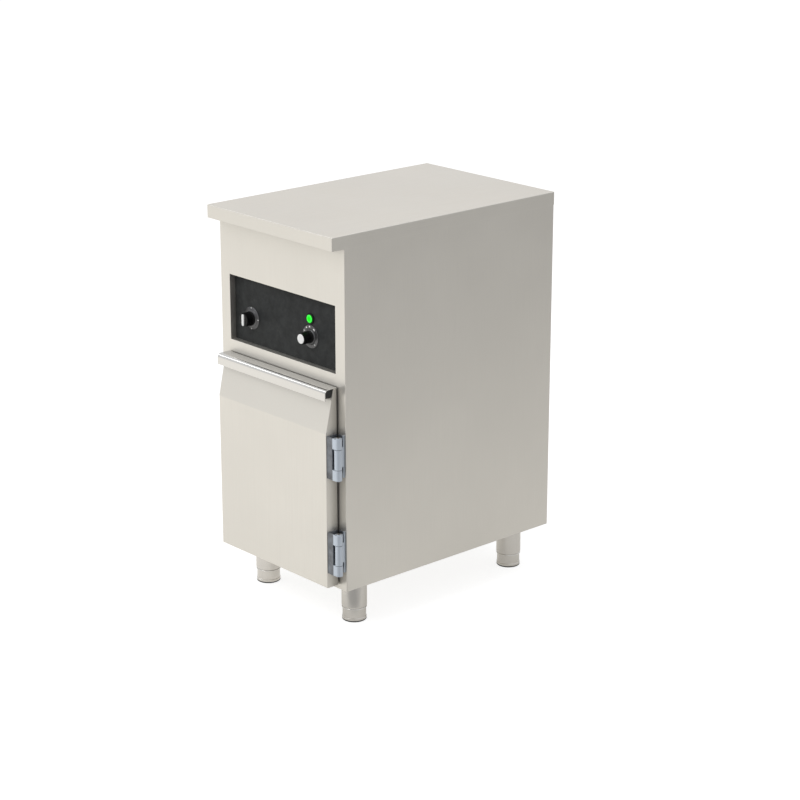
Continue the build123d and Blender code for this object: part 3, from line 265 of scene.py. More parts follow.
def brushed(name, colour, metallic, roughness, grain, contrast=0.03, top=None, corners=None):
    """Sheet metal with fine grain, faint cloudy tone, wiped marks and lighter worn edges.
    top is (height, colour) for a top face painted in another tone, as painted shade; corners is
    (reach, level) for painted shade in the corners."""
    tree = Surface(name)
    fine = tree.noise(1.0, vector=tree.stretched(grain), **METAL_FINE)
    cloud = tree.spread(tree.noise(**METAL_CLOUD), 0.0, 1.0)
    wiped = tree.noise(**METAL_WIPED)
    tone = tree.mix(cloud, scaled(colour, 1 - contrast), scaled(colour, 1 + contrast))
    share = tree.spread(fine, 0.0, METAL_FINE_SHARE)
    tone = tree.mix(share, tone, scaled(colour, 1 - 2 * contrast))
    mask, rounded = tree.edge_mask(METAL_EDGE)
    worn = tree.math("MULTIPLY", mask, METAL_WORN)
    tone = tree.mix(worn, tone, scaled(colour, METAL_WORN_TONE))
    # Painted shade: the top face gets a darker, warmer tone than the rest of the sheet.
    if top:
        height, shaded_top = top
        begin, end = (height - lip for lip in TOP_SHADE_LIP)
        share = tree.spread(tree.axis("Z"), 0.0, 1.0, begin, end)
        shade = tuple(after / before for after, before in zip(shaded_top, colour))
        tone = tree.mix(share, tone, tree.mix(1.0, tone, shade, "MULTIPLY"))
    # Painted shade: the tone is darkened in corners where shade falls.
    if corners:
        tone = tree.painted_corner_shade(tone, *corners)
    sheen = tree.spread(wiped, roughness - METAL_WIPED_SHEEN, roughness + METAL_WIPED_SHEEN)
    rough = tree.math("ADD", sheen, tree.spread(fine, -METAL_FINE_SHEEN, METAL_FINE_SHEEN))
    tree.paint(base_color=tone, roughness=rough, metallic=metallic)
    tree.bump(fine, METAL_BUMP, METAL_RELIEF, rounded)
    return tree.material


def moulded(name, colour, roughness, grain=900.0, contrast=0.12, relief=PLASTIC_RELIEF,
            specular=0.5):
    """Moulded plastic or rubber with a fine texture, uneven sheen and slightly rubbed edges."""
    tree = Surface(name)
    fine = tree.noise(grain, detail=3.0)
    cloud = tree.noise(grain * PLASTIC_CLOUD)
    dark = scaled(colour, 1 - contrast)
    tone = tree.mix(tree.spread(cloud, 0.0, 1.0), dark, scaled(colour, 1 + contrast))
    mask, rounded = tree.edge_mask(PLASTIC_EDGE)
    worn = tree.math("MULTIPLY", mask, PLASTIC_WORN)
    tone = tree.mix(worn, tone, scaled(colour, PLASTIC_WORN_TONE))
    rough = tree.spread(cloud, roughness - PLASTIC_SHEEN, roughness + PLASTIC_SHEEN)
    tree.paint(base_color=tone, roughness=rough, specular_ior_level=specular)
    tree.bump(fine, PLASTIC_BUMP, relief, rounded)
    return tree.material


def slate_panel(name):
    """Dark control panel with a leathery, cloudy surface."""
    tree = Surface(name)
    broad = tree.spread(tree.noise(**SLATE_BROAD), 0.0, 1.0, *SLATE_BROAD_RANGE)
    patch = tree.noise(**SLATE_PATCH)
    fine = tree.noise(**SLATE_FINE)
    tone = tree.mix(broad, SLATE_DARK, SLATE_LIGHT)
    tone = tree.mix(tree.spread(patch, 0.0, SLATE_MIDDLE_SHARE), tone, SLATE_MIDDLE)
    tree.paint(base_color=tone, roughness=tree.spread(patch, *SLATE_ROUGHNESS),
               specular_ior_level=SLATE_SPECULAR)
    coarse = tree.math("MULTIPLY", patch, 1 - SLATE_FINE_HEIGHT)
    height = tree.math("ADD", coarse, tree.math("MULTIPLY", fine, SLATE_FINE_HEIGHT))
    tree.bump(height, SLATE_BUMP, SLATE_RELIEF)
    return tree.material


def fibrous(name, colour):
    """Mineral wool: fibres across each other and a mottled tone."""
    tree = Surface(name)
    one, two = (tree.noise(vector=tree.stretched(run), **WOOL_FIBRES) for run in WOOL_RUNS)
    cloud = tree.noise(**WOOL_CLOUD)
    fibres = tree.math("MAXIMUM", one, two)
    dark, light = (scaled(colour, factor) for factor in WOOL_TONES)
    tone = tree.mix(tree.spread(cloud, 0.0, 1.0), dark, light)
    share = tree.spread(fibres, 0.0, WOOL_FIBRE_SHARE, *WOOL_RANGE)
    tone = tree.mix(share, tone, scaled(colour, WOOL_FIBRE_TONE))
    tree.paint(base_color=tone, roughness=tree.spread(cloud, *WOOL_ROUGHNESS))
    tree.bump(fibres, WOOL_BUMP, WOOL_RELIEF)
    return tree.material


def pressed_board(name, colour):
    """Chip board: flakes of different tone, matt."""
    tree = Surface(name)
    flakes = tree.add("TexVoronoi", {"Vector": tree.place, "Scale": BOARD_FLAKES})
    cell = tree.add("SeparateColor", {"Color": flakes.outputs["Color"]})
    fine = tree.noise(**BOARD_FINE)
    dark, light = (scaled(colour, factor) for factor in BOARD_TONES)
    tone = tree.mix(cell.outputs["Red"], dark, light)
    tree.paint(base_color=tone, roughness=tree.spread(fine, *BOARD_ROUGHNESS))
    tree.bump(fine, BOARD_BUMP, BOARD_RELIEF)
    return tree.material


def hinge_cast(name, knuckle, plate, border):
    """Matt plated casting: lighter knuckles on the right of the border, a darker plate on its left.
    """
    tree = Surface(name)
    grain = tree.noise(**CAST_GRAIN)
    cloud = tree.noise(**CAST_CLOUD)
    share = tree.spread(tree.axis("X"), 0.0, 1.0, border - CAST_BLEND, border + CAST_BLEND)
    tone = tree.mix(share, plate, knuckle)
    share = tree.spread(cloud, 0.0, CAST_CLOUD_SHARE)
    tone = tree.mix(share, tone, scaled(knuckle, CAST_CLOUD_TONE))
    mask, rounded = tree.edge_mask(CAST_EDGE)
    worn = tree.math("MULTIPLY", mask, CAST_WORN)
    tone = tree.mix(worn, tone, scaled(knuckle, CAST_WORN_TONE))
    tree.paint(base_color=tone, roughness=tree.spread(grain, *CAST_ROUGHNESS),
               metallic=CAST_METALLIC)
    tree.bump(grain, CAST_BUMP, CAST_RELIEF, rounded)
    return tree.material


def lit_lens(name, centre, radius):
    """Green lamp lens: glowing in the middle, paler ring, dark at the rim."""
    tree = Surface(name)
    flat = tree.vector("MULTIPLY", tree.place, (1.0, 0.0, 1.0)).outputs["Vector"]
    gap = tree.vector("DISTANCE", flat, (centre.x, 0.0, centre.z)).outputs["Value"]
    share = tree.math("DIVIDE", gap, radius)
    ring = tree.spread(share, 0.0, 1.0, *LENS_RING_RANGE)
    rim = tree.spread(share, 0.0, 1.0, *LENS_RIM_RANGE)
    speckle = tree.noise(**LENS_SPECKLE)
    tone = tree.mix(ring, LENS_MIDDLE_TONE, LENS_RING_TONE)
    tone = tree.mix(rim, tone, LENS_RIM_TONE)
    tree.paint(base_color=tone, emission_color=tone,
               emission_strength=tree.spread(rim, LENS_GLOW, LENS_RIM_GLOW, 0.0, 1.0),
               roughness=tree.spread(speckle, *LENS_ROUGHNESS),
               specular_ior_level=LENS_SPECULAR)
    tree.bump(speckle, LENS_BUMP, LENS_RELIEF)
    return tree.material


STEEL = (0.745, 0.720, 0.670)
SATIN = dict(colour=STEEL, metallic=0.8, roughness=0.34)
# The worktop's top face is painted darker and warmer: painted shade on the top.
WORKTOP_TOP_SHADE = (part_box("worktop")[1].z, (0.71, 0.665, 0.595))
METALS = {
    # corners gives this steel painted shade in its corners.
    "satin_steel": dict(SATIN, grain=(900.0, 900.0, 9.0), corners=(22.0 * MM, 0.70)),
    "worktop_steel": dict(SATIN, grain=(900.0, 7.0, 900.0), top=WORKTOP_TOP_SHADE),
    "polished_steel": dict(colour=(0.695, 0.682, 0.658), metallic=0.96, roughness=0.07,
                           grain=(6.0, 900.0, 900.0), contrast=0.02),
    "leg_steel": dict(colour=(0.66, 0.64, 0.61), metallic=0.92, roughness=0.17,
                      grain=(500.0, 500.0, 25.0)),
    "liner_steel": dict(colour=(0.66, 0.65, 0.62), metallic=0.9, roughness=0.3,
                        grain=(700.0, 9.0, 700.0)),
    "pin_steel": dict(colour=(0.62, 0.63, 0.65), metallic=0.95, roughness=0.22,
                      grain=(900.0, 900.0, 900.0)),
    "galvanised": dict(colour=(0.52, 0.54, 0.55), metallic=0.8, roughness=0.42,
                       grain=(80.0, 80.0, 80.0), contrast=0.10),
    "element_sheath": dict(colour=(0.16, 0.14, 0.12), metallic=0.8, roughness=0.45,
                           grain=(300.0, 40.0, 300.0), contrast=0.2),
    "brass_nut": dict(colour=(0.62, 0.46, 0.20), metallic=0.95, roughness=0.28,
                      grain=(400.0, 900.0, 400.0), contrast=0.06),
    "copper": dict(colour=(0.62, 0.30, 0.18), metallic=0.95, roughness=0.3,
                   grain=(400.0, 400.0, 400.0), contrast=0.08),
    "scale_grey": dict(colour=(0.115, 0.115, 0.118), metallic=0.9, roughness=0.32,
                       grain=(500.0, 500.0, 500.0), contrast=0.05),
}
RUBBER = dict(grain=500.0, contrast=0.2, relief=0.08 * MM)
PLASTICS = {
    "knob_black": dict(colour=(0.004, 0.004, 0.0042), roughness=0.42, specular=0.2),
    "mark_white": dict(colour=(0.97, 0.97, 0.96), roughness=0.3, contrast=0.02),
    "housing_plastic": dict(colour=(0.55, 0.52, 0.44), roughness=0.5),
    "nylon_black": dict(colour=(0.012, 0.012, 0.012), roughness=0.42),
    "washer_nylon": dict(colour=(0.02, 0.02, 0.022), roughness=0.45),
    "seal_rubber": dict(RUBBER, colour=(0.03, 0.03, 0.03), roughness=0.62),
    "pad_rubber": dict(RUBBER, colour=(0.012, 0.012, 0.012), roughness=0.6),
    "wire_sleeve": dict(colour=(0.20, 0.02, 0.015), roughness=0.5, grain=600.0, contrast=0.2),
}
LENS_LOW, LENS_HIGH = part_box("pilot_lamp_lens")
LENS_CENTRE = (LENS_LOW + LENS_HIGH) / 2
LENS_RADIUS = (LENS_HIGH.x - LENS_LOW.x) / 2
HINGE_KNUCKLE = (0.55, 0.61, 0.69)
HINGE_PLATE = (0.105, 0.107, 0.115)
HINGE_PLATE_GAP = 1.2 * MM
HINGE_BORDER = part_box("hinge_washers")[0].x - HINGE_PLATE_GAP

materials = {name: brushed(name, **look) for name, look in METALS.items()}
materials.update({name: moulded(name, **look) for name, look in PLASTICS.items()})
materials["panel_black"] = slate_panel("slate_panel")
materials["mineral_wool"] = fibrous("mineral_wool", (0.52, 0.44, 0.22))
materials["core_board"] = pressed_board("core_board", (0.36, 0.25, 0.14))
materials["lamp_green"] = lit_lens("lamp_green", LENS_CENTRE, LENS_RADIUS)
materials["hinge_metal"] = hinge_cast("hinge_metal", HINGE_KNUCKLE, HINGE_PLATE, HINGE_BORDER)

# Each CAD node wears the material of its slot in the record, apart from the worktop.
FINISHES = {row["node"]: row["material_slot"] for row in frame["record"]["subparts"]}
FINISHES["worktop"] = "worktop_steel"
for node, part in NODES.items():
    for place in part.material_slots:
        place.material = materials[FINISHES[node]]


# Mesh helpers

SHARP_ANGLE = 32


def closed_mesh(name, points, faces):
    """A mesh whose faces all look outwards."""
    mesh = bpy.data.meshes.new(name)
    mesh.from_pydata([tuple(point) for point in points], [], faces)
    shape = bmesh.new()
    shape.from_mesh(mesh)
    bmesh.ops.recalc_face_normals(shape, faces=shape.faces)
    shape.to_mesh(mesh)
    shape.free()
    return mesh


def placed(name, data):
    """A new object in the scene."""
    made = bpy.data.objects.new(name, data)
    bpy.context.scene.collection.objects.link(made)
    return made


def add_piece(name, mesh, body, slot, finish=None, sharp=SHARP_ANGLE):
    """A mesh as one piece, riding on a body and finished as a material slot. Edges sharper
    than the angle stay sharp, and without an angle all faces are flat."""
    mesh.materials.clear()
    mesh.materials.append(materials[finish or slot])
    if sharp:
        mesh.shade_smooth()
        mesh.set_sharp_from_angle(angle=math.radians(sharp))
    piece = placed(name, mesh)
    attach(piece, body)
    return piece


def bands(start, rings, count, joined):
    """Faces between neighbouring rings of points; joined closes the last ring to the first."""
    faces = []
    for ring in range(rings if joined else rings - 1):
        here = start + ring * count
        there = start + (ring + 1) % rings * count
        for index in range(count):
            after = (index + 1) % count
            faces.append((here + index, there + index, there + after, here + after))
    return faces


def stack(start, rings, count):
    """Faces of an open stack of rings, with a flat face on each end."""
    last = start + (rings - 1) * count
    ends = [tuple(range(first, first + count)) for first in (start, last)]
    return bands(start, rings, count, False) + ends


def turned(profile, centre, steps, ripple=None):
    """Points and faces of a closed ring turned about the Y axis through the centre.
    The profile is (radius, y) pairs in a closed loop; ripple changes a radius by angle."""
    points = []
    for step in range(steps):
        angle = 2 * math.pi * step / steps
        for index, (radius, y) in enumerate(profile):
            reach = radius + (ripple(index, angle) if ripple else 0.0)
            x = centre.x + reach * math.sin(angle)
            points.append((x, y, centre.z + reach * math.cos(angle)))
    return points, bands(0, steps, len(profile), True)


def turned_solid(profile, centre, steps):
    """As turned(), for an open profile whose two ends are closed with flat discs."""
    points, faces = turned(profile, centre, steps)
    count = len(profile)
    faces = [face for index, face in enumerate(faces) if index % count != count - 1]
    faces += [[step * count + end for step in range(steps)] for end in (0, count - 1)]
    return points, faces


# Dial rings: a low outer band for the marks, a fine groove and a steeper inner band

DIAL_STEPS = 120
DIAL_BORE = 5.2 * MM
DIAL_HUB = 15.0 * MM
DIAL_HUB_EDGE = (0.3 * MM, 0.1 * MM)
DIAL_CHAMFER = 0.3 * MM
DIAL_OUTER_BAND = 1.0 * MM
DIAL_OUTER_RISE = 1.1 * MM
DIAL_INNER_RISE = 0.2 * MM
GROOVE_TOP = 0.3 * MM
GROOVE_FLOOR = 0.1 * MM
GROOVE_DEPTH = 0.5 * MM
SELECTOR_GROOVE = 19.4 * MM
THERMOSTAT_GROOVE = 16.8 * MM

# Raised marks: levels are (height over the band, size); marks are (clockwise degrees,
# inner radius, outer radius, width), and the thermostat's are (degrees, length, width) in mm.
MARK_END_STEPS = 6
MARK_LEVELS = ((-0.1 * MM, 1.0), (0.10 * MM, 1.0), (0.16 * MM, 0.9))
SELECTOR_MARKS = [(turn, 19.8 * MM, 23.8 * MM, 2.4 * MM) for turn in (0, 90, 180, 270)]
HEAT_MARK_RADIUS = 22.8
HEAT_MARKS = [(turn, (HEAT_MARK_RADIUS - length) * MM, HEAT_MARK_RADIUS * MM, width * MM)
              for turn, length, width in
              ((-62, 3.8, 2.2), (-33, 4.8, 3.0), (-4, 5.6, 4.2), (36, 5.9, 5.2), (136, 5.0, 2.6))]


def dial_ring(node, name, groove):
    """One ring in place of a scale disc; gives its centre and the middle of its outer band."""
    low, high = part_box(node)
    centre = (low + high) / 2
    back = high.y
    front = low.y
    outer = (high.x - low.x) / 2
    rim = back - DIAL_OUTER_BAND
    ledge = rim - DIAL_OUTER_RISE
    edge_out, edge_back = DIAL_HUB_EDGE
    profile = [
        (DIAL_BORE, back),
        (outer, back),
        (outer, rim + DIAL_CHAMFER),
        (outer - DIAL_CHAMFER, rim),
        (groove + GROOVE_TOP, ledge),
        (groove + GROOVE_FLOOR, ledge + GROOVE_DEPTH),
        (groove - GROOVE_FLOOR, ledge + GROOVE_DEPTH),
        (groove - GROOVE_TOP, ledge - DIAL_INNER_RISE),
        (DIAL_HUB + edge_out, front + edge_back),
        (DIAL_HUB, front),
        (DIAL_BORE, front),
    ]
    mesh = closed_mesh(name, *turned(profile, centre, DIAL_STEPS))
    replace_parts(add_piece(name, mesh, "cabinet", "scale_grey"), node)
    return centre, rim - DIAL_OUTER_RISE / 2


def mark_outline(inner, outer, width):
    """A bar with round ends, as (radius, side) pairs."""
    half = width / 2
    outline = []
    for end, sign in ((outer - half, 1), (inner + half, -1)):
        for step in range(MARK_END_STEPS + 1):
            bend = math.radians(-90 + 180 * step / MARK_END_STEPS)
            outline.append((end + sign * half * math.cos(bend), sign * half * math.sin(bend)))
    return outline


def dial_marks(name, dial, marks):
    """Raised bars on a dial ring."""
    centre, surface = dial
    points = []
    faces = []
    for turn, inner, outer, width in marks:
        angle = math.radians(turn)
        along = Vector((math.sin(angle), 0.0, math.cos(angle)))
        across = Vector((math.cos(angle), 0.0, -math.sin(angle)))
        middle = (inner + outer) / 2
        outline = mark_outline(inner, outer, width)
        faces += stack(len(points), len(MARK_LEVELS), len(outline))
        for height, size in MARK_LEVELS:
            for radius, side in outline:
                reach = middle + (radius - middle) * size
                spot = centre + along * reach + across * side * size
                points.append((spot.x, surface - height, spot.z))
    add_piece(name, closed_mesh(name, points, faces), "cabinet", "mark_white")


selector_dial = dial_ring("selector_scale", "selector_dial_ring", SELECTOR_GROOVE)
thermostat_dial = dial_ring("thermostat_scale", "thermostat_dial_ring", THERMOSTAT_GROOVE)
dial_marks("selector_dial_marks", selector_dial, SELECTOR_MARKS)
dial_marks("thermostat_dial_marks", thermostat_dial, HEAT_MARKS)


# Knobs: a waist behind the grip, shallow flutes and a rounded front edge

FLUTE_DEPTH = 0.35 * MM
FLUTE_STEPS = 8
KNOB_BORE = 3.02 * MM
KNOB_BORE_DEPTH = 12.2 * MM
KNOB_FRONT_BORE = 2.0 * MM
KNOB_TAPER = 1.2 * MM
# Points of the profile, in mm. The skirt and the grip's back are (in from the outside,
# forwards from the back); the grip's front and the edge are (in from the face's radius,
# backwards from the front).
KNOB_SKIRT = ((0.4, 0.0), (0.0, 0.4), (0.0, 1.8), (0.6, 2.4))
KNOB_GRIP_BACK = ((0.7, 3.0), (0.9, 6.0))
KNOB_GRIP_FRONT = ((0.1, 3.0), (0.2, 1.6))
KNOB_EDGE = ((0.4, 0.6), (0.75, 0.15), (1.3, 0.0))


def fluted_knob(node, name, body, flutes):
    """One knob in place of a plain one, with a hole for its spindle and one for its insert."""
    low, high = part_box(node)
    centre = (low + high) / 2
    outer = (high.x - low.x) / 2
    front = low.y
    back = high.y
    face = outer - KNOB_TAPER
    profile = [(KNOB_BORE, back)]
    profile += [(outer - inset * MM, back - reach * MM) for inset, reach in KNOB_SKIRT]
    grip_start = len(profile)
    profile += [(outer - inset * MM, back - reach * MM) for inset, reach in KNOB_GRIP_BACK]
    profile += [(face - inset * MM, front + reach * MM) for inset, reach in KNOB_GRIP_FRONT]
    grip_end = len(profile)
    profile += [(face - inset * MM, front + reach * MM) for inset, reach in KNOB_EDGE]
    profile += [(KNOB_FRONT_BORE, front), (KNOB_FRONT_BORE, back - KNOB_BORE_DEPTH)]
    profile += [(KNOB_BORE, back - KNOB_BORE_DEPTH)]

    def ripple(index, angle):
        if not grip_start <= index < grip_end:
            return 0.0
        return -FLUTE_DEPTH * (0.5 - 0.5 * math.cos(flutes * angle)) ** 3

    mesh = closed_mesh(name, *turned(profile, centre, flutes * FLUTE_STEPS, ripple))
    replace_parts(add_piece(name, mesh, body, "knob_black"), node)


fluted_knob("selector_knob", "selector_knob_grip", "selector", flutes=30)
fluted_knob("thermostat_knob", "thermostat_knob_grip", "thermostat", flutes=26)


# Pilot lamp: a domed lens with fine moulded rings

LENS_STEPS = 72
LENS_RINGS = 10
# The straight skirt's share of the depth, and each ring's step (inwards, backwards)
LENS_SKIRT = 0.25
LENS_RING_STEP = (0.12 * MM, 0.07 * MM)


def lamp_lens(name):
    """The lens in place of a plain one: a short skirt and a stepped dome."""
    back = LENS_HIGH.y
    depth = back - LENS_LOW.y
    profile = [(LENS_RADIUS, back), (LENS_RADIUS, back - LENS_SKIRT * depth)]
    inwards, backwards = LENS_RING_STEP
    for ring in range(1, LENS_RINGS):
        bend = ring / LENS_RINGS * math.pi / 2
        reach = LENS_RADIUS * math.cos(bend)
        y = back - depth * (LENS_SKIRT + (1 - LENS_SKIRT) * math.sin(bend))
        profile += [(reach, y), (reach - inwards, y + backwards)]
    mesh = closed_mesh(name, *turned_solid(profile, LENS_CENTRE, LENS_STEPS))
    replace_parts(add_piece(name, mesh, "cabinet", "lamp_green"), "pilot_lamp_lens")


lamp_lens("pilot_lamp_dome")


# Door seal: a rubber section with a root and a lip, mitred at the four corners

SEAL_WIDTH = 8.0 * MM
SEAL_ROOT = 4.0 * MM
# (mm out from the inner edge, what the depth is measured from, mm from there)
SEAL_SECTION = (
    (2.2, "root", 0.0), (5.8, "root", 0.0), (5.4, "root", 1.2), (5.8, "root", 2.0),
    (5.4, "step", 0.0), (7.6, "step", 0.1), (8.0, "step", 0.6), (7.7, "step", 1.2),
    (7.2, "step", 1.6), (6.9, "lip", -0.5), (6.1, "lip", -0.1), (5.2, "lip", 0.0),
    (4.3, "lip", -0.35), (3.4, "lip", -0.35), (2.6, "lip", 0.0), (1.8, "lip", -0.1),
    (1.1, "lip", -0.5), (0.8, "step", 1.6), (0.3, "step", 1.2), (0.0, "step", 0.6),
    (0.4, "step", 0.1), (2.6, "step", 0.0), (2.2, "root", 2.0), (2.6, "root", 1.2),
)


def door_seal(name):
    """The seal's section led round the door in place of the plain seal."""
    low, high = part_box("door_gasket")
    centre = (low + high) / 2
    depths = {"root": low.y, "step": low.y + SEAL_ROOT, "lip": high.y}
    half_x = (high.x - low.x) / 2 - SEAL_WIDTH
    half_z = (high.z - low.z) / 2 - SEAL_WIDTH
    points = []
    corners = ((-1, -1), (1, -1), (1, 1), (-1, 1))
    for sign_x, sign_z in corners:
        for out, base, offset in SEAL_SECTION:
            x = centre.x + sign_x * (half_x + out * MM)
            z = centre.z + sign_z * (half_z + out * MM)
            points.append((x, depths[base] + offset * MM, z))
    mesh = closed_mesh(name, points, bands(0, len(corners), len(SEAL_SECTION), True))
    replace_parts(add_piece(name, mesh, "door", "seal_rubber"), "door_gasket")


door_seal("door_seal_section")


# Screws with a cross recess

SCREW_STEPS = 40
SCREW_SHARP_ANGLE = 35
# (share of the radius, share of the head's height)
SCREW_DOME = ((0.35, 0.02), (0.7, 0.18), (0.92, 0.5), (1.0, 0.85), (1.0, 1.0))
SHANK_SHARE = 0.55
RECESS_LENGTH = 1.15
RECESS_WIDTH = 0.24
RECESS_DEPTH = 0.55
RECESS_TAPER = (1.15, 0.45)
RECESS_START = -1.0 * MM
# (head radius, head height, shank length), and spins in degrees from screw to screw
HINGE_SCREW = (1.95 * MM, 0.5 * MM, 2.2 * MM)
HINGE_SCREW_SPIN = 23
BACK_SCREW = (3.8 * MM, 1.5 * MM, 0.6 * MM)
BACK_SCREW_X = 190.0 * MM
BACK_SCREW_HEIGHTS = (112, 285, 458, 631, 806)
BACK_SCREW_SPIN = (31, 17)
SAME_SPOT = 0.01 * MM


def cut_out(target, cutters):
    """The target's mesh without the cutters; target and cutters are removed."""
    for cutter in cutters:
        change = target.modifiers.new("cut", "BOOLEAN")
        change.operation = "DIFFERENCE"
        change.solver = "EXACT"
        change.object = cutter
    bpy.context.view_layer.update()
    graph = bpy.context.evaluated_depsgraph_get()
    result = bpy.data.meshes.new_from_object(target.evaluated_get(graph))
    target.modifiers.clear()
    for used in (*cutters, target):
        bpy.data.objects.remove(used)
    return result


def blade(length, width, depth, turn):
    """A tapering bar for one arm of a cross recess, pointing into the screw's front at y = 0."""
    spin = Matrix.Rotation(turn, 3, "Y")
    points = []
    for y, share in zip((RECESS_START, depth), RECESS_TAPER):
        for x, z in ((-1, -1), (1, -1), (1, 1), (-1, 1)):
            points.append(spin @ Vector((x * length / 2 * share, y, z * width / 2)))
    return placed("blade", closed_mesh("blade", points, stack(0, 2, 4)))


def screw_mesh(radius, height, shank):
    """A domed head facing -Y with a cross recess; y = 0 is the top of the dome."""
    profile = [(out * radius, down * height) for out, down in SCREW_DOME]
    profile += [(SHANK_SHARE * radius, height), (SHANK_SHARE * radius, height + shank)]
    head = closed_mesh("head", *turned_solid(profile, Vector((0, 0, 0)), SCREW_STEPS))
    arms = [blade(RECESS_LENGTH * radius, RECESS_WIDTH * radius, RECESS_DEPTH * height,
                  math.radians(degrees)) for degrees in (45, 135)]
    return cut_out(placed("head", head), arms)


def screws(name, mesh, places, body, slot):
    """Copies of one screw in one piece; each place is the matrix that puts a copy there."""
    whole = bmesh.new()
    for place in places:
        single = mesh.copy()
        single.transform(place)
        whole.from_mesh(single)
        bpy.data.meshes.remove(single)
    made = bpy.data.meshes.new(name)
    whole.to_mesh(made)
    whole.free()
    return add_piece(name, made, body, slot, sharp=SCREW_SHARP_ANGLE)


def separate_places(node):
    """Centres of the separate solids of a node, lowest first."""
    shape = bmesh.new()
    shape.from_mesh(NODES[node].data)
    bmesh.ops.remove_doubles(shape, verts=shape.verts, dist=SAME_SPOT)
    left = set(shape.verts)
    found = []
    while left:
        seed = left.pop()
        group = [seed]
        queue = [seed]
        while queue:
            for edge in queue.pop().link_edges:
                for vertex in edge.verts:
                    if vertex in left:
                        left.remove(vertex)
                        group.append(vertex)
                        queue.append(vertex)
        low = Vector([min(vertex.co[axis] for vertex in group) for axis in range(3)])
        high = Vector([max(vertex.co[axis] for vertex in group) for axis in range(3)])
        found.append((low + high) / 2)
    shape.free()
    return sorted(found, key=lambda spot: (spot.z, spot.y, spot.x))


def hinge_screws(name, node):
    """Countersunk screws of the door leaves, set flush with them and facing +X."""
    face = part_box(node)[1].x
    turn = Matrix.Rotation(math.radians(90), 4, "Z")
    places = []
    for index, spot in enumerate(separate_places(node)):
        spin = Matrix.Rotation(math.radians(HINGE_SCREW_SPIN * index), 4, "Y")
        places.append(Matrix.Translation((face, spot.y, spot.z)) @ turn @ spin)
    piece = screws(name, screw_mesh(*HINGE_SCREW), places, "door", "pin_steel")
    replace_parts(piece, node)


def back_screws(name):
    """Domed screws down both edges of the back panel, facing +Y."""
    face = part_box("back_panel")[1].y + BACK_SCREW[1]
    turn = Matrix.Rotation(math.radians(180), 4, "Z")
    by_row, by_side = BACK_SCREW_SPIN
    places = []
    for index, height in enumerate(BACK_SCREW_HEIGHTS):
        for side in (-1, 1):
            spin = Matrix.Rotation(math.radians(by_row * index + by_side * side), 4, "Y")
            spot = Matrix.Translation((side * BACK_SCREW_X, face, height * MM))
            places.append(spot @ turn @ spin)
    screws(name, screw_mesh(*BACK_SCREW), places, "cabinet", "pin_steel")


hinge_screws("door_hinge_screw_heads", "door_hinge_screws")
back_screws("back_panel_screws")


# Rolled beads at the lower ends of the leg tubes

BEAD_CLEARANCE = 0.1 * MM
BEAD_WALL = 0.5 * MM
BEAD_RADIUS = 1.25 * MM
BEAD_STEPS = 64
BEAD_ARC_STEPS = 10
FOOT_FLARE = 0.9 * MM


def leg_beads(name):
    """One half-round ring under each leg tube, around its foot."""
    points = []
    faces = []
    tube_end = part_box("leg_tubes")[0].z
    for corner in ("front_left", "front_right", "rear_left", "rear_right"):
        low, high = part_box("foot_" + corner)
        pad_low, pad_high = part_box("foot_pad_" + corner)
        centre = (low + high) / 2
        inner = (pad_high.x - pad_low.x) / 2 - FOOT_FLARE + BEAD_CLEARANCE
        section = []
        for step in range(BEAD_ARC_STEPS + 1):
            bend = math.radians(-90 + 180 * step / BEAD_ARC_STEPS)
            height = tube_end - BEAD_RADIUS + BEAD_RADIUS * math.sin(bend)
            section.append((inner + BEAD_WALL + BEAD_RADIUS * math.cos(bend), height))
        section += [(inner, tube_end), (inner, tube_end - 2 * BEAD_RADIUS)]
        faces += bands(len(points), BEAD_STEPS, len(section), True)
        for step in range(BEAD_STEPS):
            angle = 2 * math.pi * step / BEAD_STEPS
            for reach, height in section:
                x = centre.x + reach * math.cos(angle)
                points.append((x, centre.y + reach * math.sin(angle), height))
    add_piece(name, closed_mesh(name, points, faces), "cabinet", "leg_steel", "polished_steel")


leg_beads("leg_end_beads")


# Black plugs that close the two ends of the handle's folded nose: painted shade for the hollow
# inside it

SHADE_PLUG_THICKNESS = 1.4 * MM
SHADE_PLUG_RECESS = 0.4 * MM
SHADE_PLUG_GAP = 0.06 * MM
SHADE_PLUG_LOW = 5.0 * MM
SHADE_PLUG_REAR_GAP = 0.5 * MM
SHADE_PLUG_ARC_STEPS = 8
HANDLE_SHEET = 1.5 * MM
HANDLE_NOSE_RADIUS = 9.0 * MM
# The door's slanted top, in mm: its depths before the cabinet's front and its heights
DOOR_FACE = 31.5
DOOR_TOP_FACE = 11.4
DOOR_BACK = 3.0
DOOR_BEND = 439.0
DOOR_TOP = 530.5
DOOR_SLOPE = (DOOR_FACE - DOOR_TOP_FACE) / (DOOR_TOP - DOOR_BEND)


